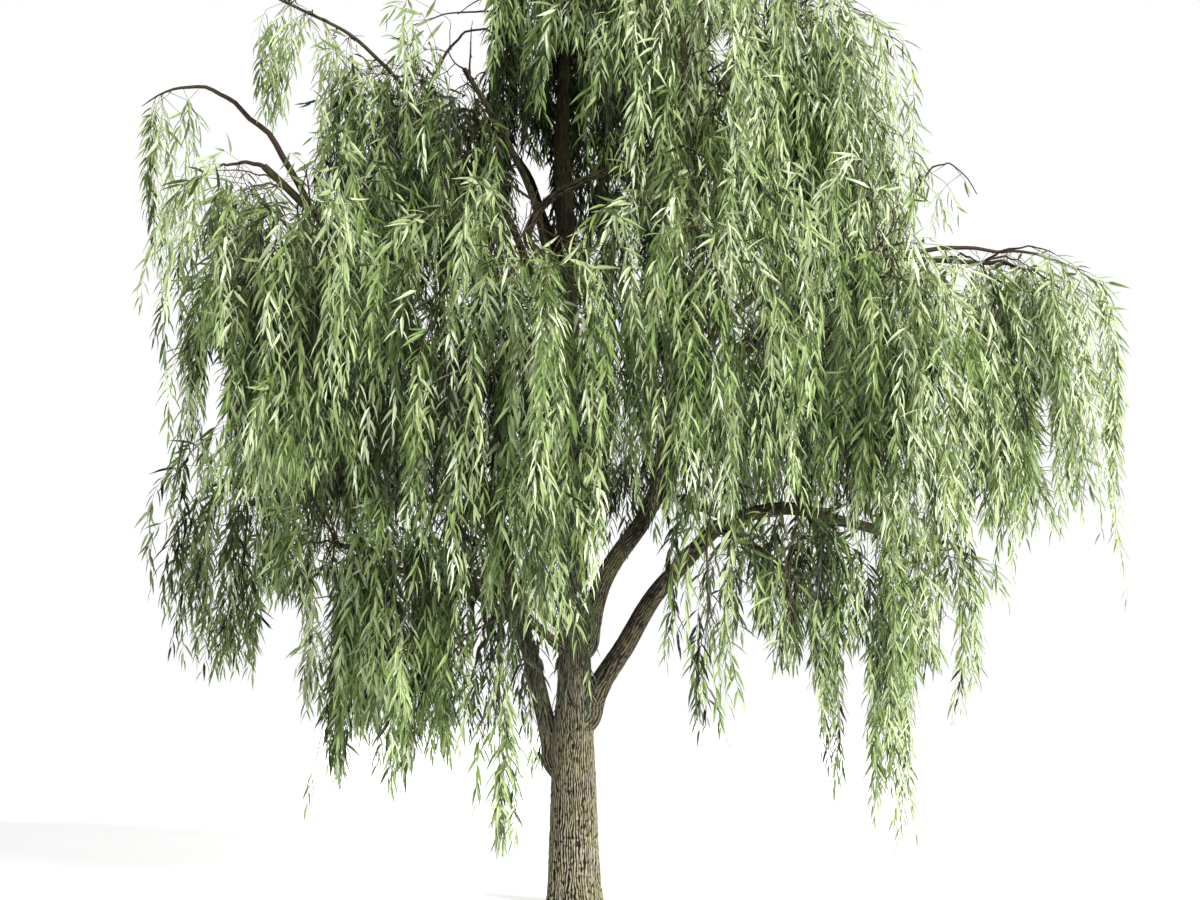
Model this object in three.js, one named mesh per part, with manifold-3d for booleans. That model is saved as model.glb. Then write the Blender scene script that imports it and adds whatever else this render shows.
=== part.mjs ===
// A weeping willow: one trunk with a flared foot, boughs that leave it at named heights,
// and hanging masses of foliage round an open space. Millimetres, +Z up, +X to the right,
// -Y towards the front. The origin is at the middle of the flat cut under the trunk.
import * as THREE from "three";
import Module from "manifold-3d";

const wasm = await Module();
wasm.setup();

// ---------------------------------------------------------------- driving dimensions
const GAP = 0.4; // clear space left between two solids that meet
const TRUNK_SIDES = 12;
const LIMB_SIDES = 6;
const LIMB_STEP = 600; // length of limb between two rings
const LEAST_STEPS = 4; // along even the shortest limb
const BEND_RISE = 0.62; // share of a plain bough's rise that it has made half way out
const BEND_ARCH = 0.06; // how much higher it arches there, as a share of its reach
const MASS_SIDES = 10;
const MASS_RINGS = 5;
const HEM_RAGGED = 0.2; // share of a mass's height that its hem rises and falls by
const UNDERSIDE = 0.12; // how far up its height the middle of a mass's underside lies
const USUAL_DEPTH = 0.3; // share of the way down a mass where its bough usually ends
const HEART_INWARD = 0.3; // share of the depth that this point lies towards the trunk
const DOME = 0.45; // share of the way down a mass where it is widest
const DOME_ROUND = 2.2; // powers that shape the dome's outline above that
const DOME_FULL = 0.45;
const SKIRT_CURVE = 1.5; // power that gathers the skirt in faster towards the hem
const RING_CROWDING = 1.35; // power that sets the rings of a mass closer near its top
const TWO_LOBES = 0.1; // size of the swellings round a mass, as shares of its width
const THREE_LOBES = 0.08;
const LOBE_TURN = 2.3; // how much further the three are turned than the two, mass by mass
const UNEVEN = 0.16; // range of the chance change in width from point to point
const HEM_OUTWARD = 0.3; // shares of the clear space that a hem grows by
const HEM_DOWNWARD = 1.5;
const COLLAR = 0.35; // how much a limb swells where it leaves the wood under it
const COLLAR_SHARE = 0.07; // share of the limb's length that the swelling fades over
const FLARE_LOBES = 5; // root swellings round the foot
const FLARE_DEPTH = 0.07;
const FLARE_FADE = 260; // height over which the lobes fade out

// Height, radius and sideways drift of the trunk, from the ground to the tip of the leader.
const TRUNK = [
  [0, 216, 0, 0],
  [130, 198, 0, 0],
  [420, 184, 0, 0],
  [850, 170, 0, 0],
  [1250, 148, 0, 0],
  [1700, 122, 5, 4],
  [2400, 100, -12, 20],
  [3400, 86, -45, 30],
  [4700, 74, -50, 10],
  [5700, 62, -100, -10],
  [6740, 32, -70, 10],
  [7350, 13, 20, 20],
];

// Each mass of foliage: heading in degrees (0 right, 90 back, 180 left, 270 front), distance
// of its middle from the origin, height of its top and of its hem, half its width across the
// heading, half its depth along it, how far its top is drawn out along the heading, and the
// share of its width that the skirt gathers in by at the hem.
const MASSES = {
  foliage_right_arm: [358, 3280, 4900, 2500, 720, 640, 60, 0.1],
  foliage_left_shoulder: [181, 2540, 6140, 3130, 980, 570, 260, 0.25],
  foliage_top: [10, 330, 8000, 6060, 960, 930, 0, 0.2],
  foliage_tress: [186, 2320, 7250, 5780, 190, 170, 0, 0.3],
  foliage_upper_left: [176, 1500, 6700, 4500, 860, 700, 0, 0.2],
  foliage_upper_right: [4, 1700, 7320, 4650, 960, 720, -40, 0.1],
  foliage_upper_front_left: [232, 1450, 6650, 4450, 700, 640, -80, 0.25],
  foliage_upper_front_right: [305, 1500, 7150, 4400, 900, 720, -140, 0.2],
  foliage_upper_back_right: [62, 1550, 7250, 4700, 980, 800, -160, 0.2],
  foliage_upper_back_left: [128, 1600, 6950, 4700, 940, 760, -120, 0.2],
  foliage_left: [187, 1700, 4900, 2500, 700, 640, -80, 0.2],
  foliage_front_left: [220, 2580, 5450, 2500, 1020, 660, -160, 0.25],
  foliage_front: [259, 2250, 5100, 1800, 960, 640, -160, 0.3],
  foliage_front_right: [297, 2320, 5250, 2700, 900, 640, -160, 0.3],
  foliage_right_front: [329, 2580, 5300, 2300, 900, 660, -160, 0.3],
  foliage_right_shoulder: [10, 2250, 6100, 3100, 960, 600, 40, 0.2],
  foliage_back_right: [48, 2750, 5500, 2650, 1180, 740, -180, 0.25],
  foliage_back: [93, 2700, 5600, 2800, 1160, 720, -180, 0.25],
  foliage_back_left: [138, 2750, 5450, 2500, 1180, 740, -180, 0.25],
  foliage_low_left: [184, 2550, 3520, 1580, 700, 440, 80, 0.4],
  foliage_low_left_front: [220, 2170, 3300, 760, 340, 370, 0, 0.45],
  foliage_low_front_left: [241, 2130, 3000, 900, 480, 420, 0, 0.4],
  foliage_low_front: [256, 1960, 2700, 520, 240, 300, 0, 0.5],
  foliage_low_front_right: [299, 1950, 3100, 1160, 340, 340, 0, 0.5],
  foliage_low_right_front: [316, 2130, 3000, 900, 440, 420, 0, 0.55],
  foliage_low_right: [350, 2270, 3150, 400, 440, 400, 0, 0.6],
  foliage_low_right_far: [2, 2820, 3250, 1120, 560, 320, 0, 0.55],
  foliage_low_back_right: [46, 2450, 3200, 1450, 800, 560, 0, 0.45],
  foliage_low_back_left: [142, 2450, 3100, 1250, 940, 580, 0, 0.4],
};

// Each limb: the limb it leaves, the share of that limb's length where it does, the points it
// bends through, the mass it ends in, its radius at the foot and at the end, and how far down
// that mass it ends when this isn't the usual share.
const LIMBS = {
  limb_left: ["trunk", 0.112, [[-165, 30, 1120], [-252, 55, 1500], [-700, 120, 3150],
    [-1250, 90, 4350], [-1930, 30, 5120]], "foliage_left_shoulder", 76, 26, 0.2],
  limb_right: ["trunk", 0.177, [[290, -60, 1770], [635, -150, 2265], [910, -220, 2720],
    [1620, -290, 2890]], "foliage_low_right_far", 92, 26],
  limb_inner: ["trunk", 0.25, [[160, 40, 2250], [405, 90, 2670], [610, 140, 3020],
    [790, 200, 3600], [590, 220, 4600], [740, 200, 5600]], "foliage_upper_right", 78, 30],
  limb_back: ["trunk", 0.27, [[60, 420, 2900], [130, 1050, 3800]], "foliage_back", 74, 30],
  limb_front: ["trunk", 0.3, [[-130, -420, 3050], [-200, -1050, 3650]], "foliage_front", 66, 28],
  bough_right_arm: ["limb_inner", 0.42, [[1180, 160, 4400], [1760, 90, 4830]],
    "foliage_right_arm", 42, 16, 0.05],
  bough_hub: ["trunk", 0.645, [[-440, -520, 4940], [0, -800, 5220], [480, -960, 5340]],
    "foliage_upper_front_right", 40, 22, 0.6],
  bough_tress: ["limb_left", 0.6, [[-1100, 60, 5780], [-1410, -20, 6310], [-1920, -120, 6720]],
    "foliage_tress", 28, 10],
  bough_low_left: ["limb_left", 0.405, [], "foliage_low_left", 38, 20],
  bough_front_left: ["limb_left", 0.32, [], "foliage_front_left", 44, 22],
  bough_low_left_front: ["trunk", 0.245, [], "foliage_low_left_front", 40, 20],
  bough_low_front_left: ["trunk", 0.262, [], "foliage_low_front_left", 36, 18],
  bough_low_front: ["limb_front", 0.2, [], "foliage_low_front", 30, 16],
  bough_low_front_right: ["limb_right", 0.3, [], "foliage_low_front_right", 30, 16],
  bough_low_right_front: ["limb_right", 0.5, [], "foliage_low_right_front", 36, 18],
  bough_front_right: ["limb_inner", 0.25, [], "foliage_front_right", 44, 22],
  bough_right_front: ["limb_inner", 0.34, [], "foliage_right_front", 42, 22],
  bough_back_right: ["limb_inner", 0.3, [], "foliage_back_right", 46, 22],
  bough_low_back_right: ["limb_inner", 0.27, [[1050, 320, 2930]], "foliage_low_back_right", 40, 20],
  bough_back_left: ["limb_back", 0.3, [], "foliage_back_left", 46, 22],
  bough_low_back_left: ["limb_left", 0.24, [], "foliage_low_back_left", 38, 20],
  bough_upper_back_right: ["trunk", 0.6, [], "foliage_upper_back_right", 40, 20],
  bough_upper_back_left: ["trunk", 0.63, [], "foliage_upper_back_left", 38, 20],
  bough_upper_front_left: ["trunk", 0.58, [], "foliage_upper_front_left", 36, 18],
  bough_upper_left: ["trunk", 0.55, [], "foliage_upper_left", 38, 20],
};

const BARK = new THREE.MeshStandardMaterial({ color: 0x7d7461, roughness: 0.9, metalness: 0 });
const BOUGH_BARK = new THREE.MeshStandardMaterial({ color: 0x5b5244, roughness: 0.88, metalness: 0 });
const LEAF_GREENS = [0x76815e, 0x84906b, 0x69774c, 0x8f9c79];

// ---------------------------------------------------------------- shared helpers

/** A repeatable number from 0 to 1 for a seed and up to two counters. */
function chance(seed, i, j = 0) {
  const wave = Math.sin(seed * 12.9898 + i * 78.233 + j * 37.719) * 43758.5453;
  return wave - Math.floor(wave);
}

/** A closed skin over rings of points, with a point to close each end. */
function closedSkin(rings, start, end) {
  const sides = rings[0].length;
  const points = [start, ...rings.flat(), end];
  const last = points.length - 1;
  const triangles = [];
  const at = (ring, side) => 1 + ring * sides + (side % sides);
  for (let side = 0; side < sides; side++) {
    triangles.push(0, at(0, side + 1), at(0, side));
    for (let ring = 0; ring + 1 < rings.length; ring++) {
      triangles.push(at(ring, side), at(ring, side + 1), at(ring + 1, side + 1));
      triangles.push(at(ring, side), at(ring + 1, side + 1), at(ring + 1, side));
    }
    triangles.push(last, at(rings.length - 1, side), at(rings.length - 1, side + 1));
  }
  return solidOf(points, triangles);
}

/** The solid bounded by a list of points and the triangles between them. */
function solidOf(points, triangles) {
  const vertProperties = new Float32Array(points.flatMap((p) => [p.x, p.y, p.z]));
  const triVerts = new Uint32Array(triangles);
  return new wasm.Manifold(new wasm.Mesh({ numProp: 3, vertProperties, triVerts }));
}

/** The solid less every cutter that reaches it, with only its largest piece kept. */
function carve(solid, cutters) {
  let left = solid;
  for (const cutter of cutters) {
    if (boxesMeet(left.boundingBox(), cutter.boundingBox())) {
      left = left.subtract(cutter);
    }
  }
  const pieces = left.decompose();
  return pieces.reduce((best, piece) => (piece.volume() > best.volume() ? piece : best));
}

/** Whether two boxes touch. */
function boxesMeet(a, b) {
  return [0, 1, 2].every((axis) => a.min[axis] <= b.max[axis] && b.min[axis] <= a.max[axis]);
}

// ---------------------------------------------------------------- trunk and limbs

/** The curve down the middle of the trunk. */
function trunkLine() {
  return new THREE.CatmullRomCurve3(TRUNK.map(([height, , x, y]) => new THREE.Vector3(x, y, height)));
}

/** The trunk: level rings up the middle line, lobed at the foot by the root swellings. */
function trunkSolid(grow) {
  const rings = TRUNK.map(([height, radius, x, y], level) => {
    const lobes = FLARE_DEPTH * Math.exp(-height / FLARE_FADE);
    const lift = level === 0 ? -grow : 0;
    return ringOf(TRUNK_SIDES, (turn) => {
      const reach = radius * (1 + lobes * Math.cos(FLARE_LOBES * turn)) + grow;
      return new THREE.Vector3(x + reach * Math.cos(turn), y + reach * Math.sin(turn), height + lift);
    });
  });
  const [tipHeight, tipRadius, tipX, tipY] = TRUNK[TRUNK.length - 1];
  const tip = new THREE.Vector3(tipX, tipY, tipHeight + tipRadius + grow);
  return closedSkin(rings, new THREE.Vector3(0, 0, -grow), tip);
}

/** Points round one ring, from a function of the turn in radians. */
function ringOf(sides, point) {
  return Array.from({ length: sides }, (_, side) => point((side / sides) * 2 * Math.PI));
}

/** The middle line of a limb, from inside its parent to inside the mass it carries. */
function limbLine(parentLine, [, share, bends, mass, , , down = USUAL_DEPTH]) {
  const foot = parentLine.getPointAt(share);
  const end = heart(MASSES[mass], down);
  const given = bends.map((bend) => new THREE.Vector3(...bend));
  const middle = given.length ? given : [archPoint(foot, end)];
  return new THREE.CatmullRomCurve3([foot, ...middle, end], false, "centripetal");
}

/** The bend of a plain bough: half way out and most of the way up, so that it arches. */
function archPoint(foot, end) {
  const bend = foot.clone().lerp(end, 0.5);
  bend.z = foot.z + BEND_RISE * (end.z - foot.z) + BEND_ARCH * foot.distanceTo(end);
  return bend;
}

/** A limb: round rings along its line, swollen at the foot and tapering to the end. */
function limbSolid(line, [, , , , thick, thin], grow) {
  const steps = Math.max(LEAST_STEPS, Math.round(line.getLength() / LIMB_STEP));
  const frames = line.computeFrenetFrames(steps, false);
  const rings = [];
  for (let step = 0; step <= steps; step++) {
    const share = step / steps;
    const swell = 1 + COLLAR * Math.exp(-share / COLLAR_SHARE);
    const radius = (thick + (thin - thick) * share) * swell + grow;
    const middle = line.getPointAt(share);
    rings.push(ringOf(LIMB_SIDES, (turn) => middle.clone()
      .addScaledVector(frames.normals[step], radius * Math.cos(turn))
      .addScaledVector(frames.binormals[step], radius * Math.sin(turn))));
  }
  const tip = line.getPointAt(1).addScaledVector(frames.tangents[steps], thin + grow);
  return closedSkin(rings, line.getPointAt(0), tip);
}

// ---------------------------------------------------------------- foliage

/** The point in a mass where its bough ends: a share of the way down, a little towards the trunk. */
function heart([heading, out, top, hem, , deep], down) {
  const turn = THREE.MathUtils.degToRad(heading);
  const reach = out - HEART_INWARD * deep;
  return new THREE.Vector3(reach * Math.cos(turn), reach * Math.sin(turn), top - down * (top - hem));
}

/** How wide a mass is at a share of the way down: a dome above, a gathered skirt below. */
function spread(down, gather) {
  if (down < DOME) {
    return (1 - (1 - down / DOME) ** DOME_ROUND) ** DOME_FULL;
  }
  return 1 - gather * ((down - DOME) / (1 - DOME)) ** SKIRT_CURVE;
}

/** A mass of hanging foliage: a lobed dome whose skirt ends in a ragged hem. */
function massSolid([heading, out, top, hem, wide, deep, drawn, gather], seed, grow) {
  const turn = THREE.MathUtils.degToRad(heading);
  const along = new THREE.Vector3(Math.cos(turn), Math.sin(turn), 0);
  const across = new THREE.Vector3(-Math.sin(turn), Math.cos(turn), 0);
  const height = top - hem;
  const place = (down, x, y, z) => along.clone().multiplyScalar(out + drawn * (1 - down) ** 2 + x)
    .addScaledVector(across, y)
    .setZ(z);
  const rings = [];
  for (let ring = MASS_RINGS; ring > 0; ring--) {
    const down = ring / MASS_RINGS;
    const hemRing = ring === MASS_RINGS;
    const outward = hemRing ? HEM_OUTWARD * grow : grow;
    const upward = hemRing ? -HEM_DOWNWARD * grow : grow * Math.max(0, 1 - HEM_DOWNWARD * down);
    rings.push(ringOf(MASS_SIDES, (angle) => {
      const side = Math.round((angle / (2 * Math.PI)) * MASS_SIDES);
      const lobes = TWO_LOBES * Math.sin(2 * angle + seed)
        + THREE_LOBES * Math.sin(3 * angle + LOBE_TURN * seed);
      const change = chance(seed, side, Math.min(ring, MASS_RINGS - 1)) - 0.5;
      const uneven = 1 + lobes + UNEVEN * change;
      const size = spread(down, gather) * uneven;
      const raised = hemRing ? HEM_RAGGED * height * chance(seed, side) : 0;
      const x = (deep * size + outward) * Math.cos(angle);
      const y = (wide * size + outward) * Math.sin(angle);
      return place(down, x, y, top - height * down ** RING_CROWDING + raised + upward);
    }));
  }
  const under = place(1, 0, 0, hem + UNDERSIDE * height - grow);
  return closedSkin(rings, under, place(0, 0, 0, top + grow));
}

// ---------------------------------------------------------------- the whole tree

const tree = new THREE.Group();

/** A named mesh in the tree from a finished solid. */
function addNode(name, solid, material) {
  const { vertProperties, triVerts } = solid.getMesh();
  const geometry = new THREE.BufferGeometry();
  geometry.setAttribute("position", new THREE.BufferAttribute(vertProperties, 3));
  geometry.setIndex(new THREE.BufferAttribute(triVerts, 1));
  geometry.computeVertexNormals();
  const mesh = new THREE.Mesh(geometry, material);
  mesh.name = name;
  tree.add(mesh);
}

const lines = { trunk: trunkLine() };
const cutters = [trunkSolid(GAP)];
addNode("trunk", trunkSolid(0), BARK);

for (const [name, limb] of Object.entries(LIMBS)) {
  lines[name] = limbLine(lines[limb[0]], limb);
  addNode(name, carve(limbSolid(lines[name], limb, 0), cutters), BOUGH_BARK);
  cutters.push(limbSolid(lines[name], limb, GAP));
}

Object.entries(MASSES).forEach(([name, mass], index) => {
  const green = LEAF_GREENS[index % LEAF_GREENS.length];
  const leaf = new THREE.MeshStandardMaterial({ color: green, roughness: 0.75, metalness: 0 });
  addNode(name, carve(massSolid(mass, index + 1, 0), cutters), leaf);
  cutters.push(massSolid(mass, index + 1, GAP));
});

export default tree;
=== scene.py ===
# %% [markdown]
# # A weeping willow
#
# The tree is one trunk with a flared foot, limbs and boughs that leave it, and curtains of
# hanging shoots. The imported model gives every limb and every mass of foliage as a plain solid.
# This lesson reads those solids and grows the real surface on them: ridged bark on the wood,
# then branchlets, hanging shoots and leaves in the space that each mass of foliage holds.
# Everything is in metres, with +Z up and the front of the tree towards -Y.

import bpy
import numpy as np
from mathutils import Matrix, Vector


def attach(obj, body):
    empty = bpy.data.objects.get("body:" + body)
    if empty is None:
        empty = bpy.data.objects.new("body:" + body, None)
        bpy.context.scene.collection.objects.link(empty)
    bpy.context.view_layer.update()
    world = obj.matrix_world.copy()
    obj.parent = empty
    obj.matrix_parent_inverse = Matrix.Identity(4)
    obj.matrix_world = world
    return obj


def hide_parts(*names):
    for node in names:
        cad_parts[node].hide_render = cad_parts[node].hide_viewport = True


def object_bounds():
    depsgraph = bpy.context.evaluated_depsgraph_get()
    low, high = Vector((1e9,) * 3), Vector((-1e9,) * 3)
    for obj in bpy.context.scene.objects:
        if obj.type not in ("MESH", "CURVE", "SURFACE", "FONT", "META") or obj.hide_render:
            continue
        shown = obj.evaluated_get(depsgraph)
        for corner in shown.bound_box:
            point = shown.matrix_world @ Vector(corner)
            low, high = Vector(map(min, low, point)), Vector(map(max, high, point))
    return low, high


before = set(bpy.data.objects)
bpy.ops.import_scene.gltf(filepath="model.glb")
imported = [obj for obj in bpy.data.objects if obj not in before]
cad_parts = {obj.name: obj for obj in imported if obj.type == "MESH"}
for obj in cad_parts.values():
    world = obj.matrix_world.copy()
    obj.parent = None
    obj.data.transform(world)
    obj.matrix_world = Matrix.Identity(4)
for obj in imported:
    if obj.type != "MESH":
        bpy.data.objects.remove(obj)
CAD_BOX = [list(corner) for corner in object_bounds()]
BOX_LOW, BOX_HIGH = np.array(CAD_BOX)
UP = np.array([0.0, 0.0, 1.0])
print("the model is", np.round(BOX_HIGH - BOX_LOW, 2), "m, in", len(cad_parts), "nodes")

# %% Sort the nodes by what they are
MASSES = sorted(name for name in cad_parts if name.startswith("foliage"))
LIMBS = sorted(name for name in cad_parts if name.startswith(("limb", "bough")))
print(len(LIMBS), "limbs and boughs,", len(MASSES), "masses of foliage")

# %% [markdown]
# ## The studio
#
# A tree eight metres tall is seen from the distance at which a person would stand to take it
# in, at eye height, so the camera tips up a little. The light could come from a sky, but then the
# leaves would take its blue. A white, even surround keeps every green as it was mixed. One soft sun
# from the right parts the leaves from each other without hard shadows, and a broad panel, low on
# the right, lights the trunk under the crown.

# %% Camera
EYE_HEIGHT = 1.6
EYE_DISTANCE = 14.0
AIM_HEIGHT = 3.36
SIDE_STEP = 0.195  # the camera stands and looks this far right of the trunk
LENS = 56.0  # millimetres
FAR_LIMIT = 200.0  # nothing further off is drawn


def aimed(thing, target):
    """Turns a camera or lamp so that its -Z axis points at the target and its Y axis stays up."""
    gaze = Vector(target) - thing.location
    thing.rotation_euler = gaze.to_track_quat("-Z", "Y").to_euler()


camera = bpy.data.objects.new("camera", bpy.data.cameras.new("camera"))
camera.data.lens = LENS
camera.data.clip_end = FAR_LIMIT
camera.location = (SIDE_STEP, -EYE_DISTANCE, EYE_HEIGHT)
aimed(camera, (SIDE_STEP, 0.0, AIM_HEIGHT))
bpy.context.collection.objects.link(camera)
bpy.context.scene.camera = camera
print("the camera stands", EYE_DISTANCE, "m away")

# %% A short way to add nodes
def add_node(tree, kind, **settings):
    """Makes a shader node and sets the named properties on it."""
    node = tree.nodes.new(kind)
    for name, value in settings.items():
        setattr(node, name, value)
    return node


def wire(tree, *pairs):
    """Joins each output socket to the input socket written after it."""
    for source, target in pairs:
        tree.links.new(source, target)


def mapped(tree, value, before, after):
    """Moves a value from one range to another, and holds it at the ends."""
    node = add_node(tree, "ShaderNodeMapRange", clamp=True)
    for socket, end in zip(("From Min", "From Max", "To Min", "To Max"), (*before, *after)):
        node.inputs[socket].default_value = end
    wire(tree, (value, node.inputs["Value"]))
    return node.outputs["Result"]


# %% Surround, seen white but dimmer in the light that it gives, so that the sun models the crown
SURROUND_SEEN = 1.0
SURROUND_LIGHT = 0.16


def build_surround():
    """A white world whose strength is one number for the camera and another for the tree."""
    world = bpy.data.worlds.new("surround")
    world.use_nodes = True
    tree = world.node_tree
    background = tree.nodes["Background"]
    background.inputs["Color"].default_value = (1, 1, 1, 1)
    seen = add_node(tree, "ShaderNodeLightPath").outputs["Is Camera Ray"]
    strength = mapped(tree, seen, (0, 1), (SURROUND_LIGHT, SURROUND_SEEN))
    wire(tree, (strength, background.inputs["Strength"]))
    return world


bpy.context.scene.world = build_surround()
print("a surround of", SURROUND_LIGHT)

# %% Sun, panel and tone
SUN_STRENGTH = 6.2
SUN_SOFTNESS = 0.45  # radians across
SUN_COLOUR = (1.0, 0.985, 0.955)
SUN_PLACE = (10.0, -11.0, 9.5)
SUN_TARGET = (0.0, 0.0, 3.0)
PANEL_POWER = 540.0
PANEL_SIZE = 5.0
PANEL_PLACE = (8.8, -7.0, 1.9)
PANEL_TARGET = (0.3, 0.0, 2.2)


def add_lamp(name, kind, power, place, target):
    """A lamp of the given kind and power, turned from its place to its target."""
    lamp = bpy.data.objects.new(name, bpy.data.lights.new(name, kind))
    lamp.data.energy = power
    lamp.location = place
    aimed(lamp, target)
    bpy.context.collection.objects.link(lamp)
    return lamp


sun = add_lamp("sun", "SUN", SUN_STRENGTH, SUN_PLACE, SUN_TARGET)
sun.data.angle = SUN_SOFTNESS
sun.data.color = SUN_COLOUR
panel = add_lamp("panel", "AREA", PANEL_POWER, PANEL_PLACE, PANEL_TARGET)
panel.data.size = PANEL_SIZE
bpy.context.scene.view_settings.view_transform = "Standard"
bpy.context.scene.view_settings.look = "None"
print("a sun of", SUN_STRENGTH, "and a panel of", PANEL_POWER)

# %% [markdown]
# ## Paints and materials
#
# Colours are written as a painter mixes them, from 0 to 255, and turned into the linear values
# that a shader wants. Leaves on one tree differ, with how old they are and the side that they
# show. A pattern on each leaf would be lost at this distance, with ninety thousand of them, so
# each spray takes one plain green out of a small range. Which green it takes is partly chance and
# partly painted light and shade: paler at the edge and the top of the crown, deeper inside it and
# away from the sun.

# %% A paint helper
def paint(red, green, blue):
    """Screen colour to linear: c/12.92 near black, ((c + 0.055)/1.055)^2.4 above."""
    shade = np.array([red, green, blue]) / 255.0
    linear = np.where(shade <= 0.04045, shade / 12.92, ((shade + 0.055) / 1.055) ** 2.4)
    return (*linear, 1.0)


# %% Plain materials for leaves, shoots and branchlets
# a ramp from dark to pale, dealt out further down partly at random and partly by place in the crown, as
# painted light and shade
LEAF_GREENS = {
    "leaf_deep": (26, 36, 13),
    "leaf_moss": (58, 77, 33),
    "leaf_green": (103, 125, 66),
    "leaf_sage": (132, 150, 98),
    "leaf_grey": (155, 170, 124),
    "leaf_silver": (173, 187, 149),
    "leaf_pale": (189, 202, 170),
}
TWIG_COLOURS = {"twig_bark": (58, 46, 34), "shoot_bark": (92, 92, 52)}
LEAF_FINISH = (0.5, 0.4)  # how rough and how shiny: the soft gloss of a willow leaf
TWIG_FINISH = (0.7, 0.3)  # thin bark, smooth and dull


def plain_material(name, colour, finish):
    """One plain colour, with its roughness and its shine."""
    material = bpy.data.materials.new(name)
    material.use_nodes = True
    shader = material.node_tree.nodes["Principled BSDF"]
    shader.inputs["Base Color"].default_value = paint(*colour)
    shader.inputs["Roughness"].default_value, shader.inputs["Specular IOR Level"].default_value = finish
    return material


leaf_materials = [plain_material(name, colour, LEAF_FINISH) for name, colour in LEAF_GREENS.items()]
twig_materials = [plain_material(name, colour, TWIG_FINISH) for name, colour in TWIG_COLOURS.items()]
print(len(leaf_materials), "leaf greens and", len(twig_materials), "twig barks")

# %% [markdown]
# ## Bark
#
# Old willow bark is a net of pale, corky ridges that run up the stem, part and join again round
# long dark furrows. A bump pattern alone would look flat against the light at the trunk's edge,
# so the ridges are real shape, worked out on the mesh further down, which also stores how high
# each point lies. The colour follows that height: nearly black in the furrows, which is their own
# dark bark with painted shade on it, brown on their walls, grey on the crests. Walls and crests
# are darker on young bark, and on the trunk above its foot as painted shade under the crown. One
# node group does this for trunk and limbs, and adds lichen and a fine grain.

# %% What the bark group takes and gives
BARK_COLOURS = {
    # nearly black: the furrow's own darker bark with painted shade on it
    "Furrow And Shade": (20, 16, 11),
    "Wall": (58, 51, 38),
    "Crest": (150, 143, 123),
    "Lichen": (112, 116, 62),
    "Young And Shaded Wall": (38, 31, 24),
    "Young And Shaded Crest": (82, 74, 57),
}
BARK_AMOUNTS = {"Lichen Share": 0.28, "Grain Size": 90.0}
BARK_RESULTS = {"Colour": "Color", "Roughness": "Float", "Grain": "Float"}


def add_sockets(group):
    """Named inputs for the colours and amounts, with their usual values, and named outputs."""
    given = {name: ("Color", paint(*colour)) for name, colour in BARK_COLOURS.items()}
    given.update({name: ("Float", amount) for name, amount in BARK_AMOUNTS.items()})
    for name, (kind, usual) in given.items():
        socket = group.interface.new_socket(name, in_out="INPUT", socket_type="NodeSocket" + kind)
        socket.default_value = usual
    for name, kind in BARK_RESULTS.items():
        group.interface.new_socket(name, in_out="OUTPUT", socket_type="NodeSocket" + kind)


# %% The bark group
GRAIN_STRETCH = (1.0, 1.0, 0.3)  # the grain runs up the stem
GRAIN_DETAIL = 4.0
MOTTLE_SIZE = 5.0
MOTTLE_DETAIL = 3.0
UNEVEN = 0.5  # how much the grain moves the height that the colour follows
WALL_FROM = (0.24, 0.68)  # heights between which the furrow's colour, with its painted shade, turns into the wall's
CREST_FROM = (0.55, 1.0)  # and the wall's into the crest's
LICHEN_FROM = (0.42, 0.66)
BARK_ROUGHNESS = (0.95, 0.8)  # on the walls and on the crests


def noise(tree, vector, detail):
    """A noise texture that reads the given coordinates."""
    node = add_node(tree, "ShaderNodeTexNoise")
    node.inputs["Detail"].default_value = detail
    wire(tree, (vector, node.inputs["Vector"]))
    return node


def blend(tree, factor, a, b):
    """The colour a where the factor is 0 and b where it is 1."""
    node = add_node(tree, "ShaderNodeMix", data_type="RGBA")
    wire(tree, (factor, node.inputs["Factor"]), (a, node.inputs["A"]), (b, node.inputs["B"]))
    return node.outputs["Result"]


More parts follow.
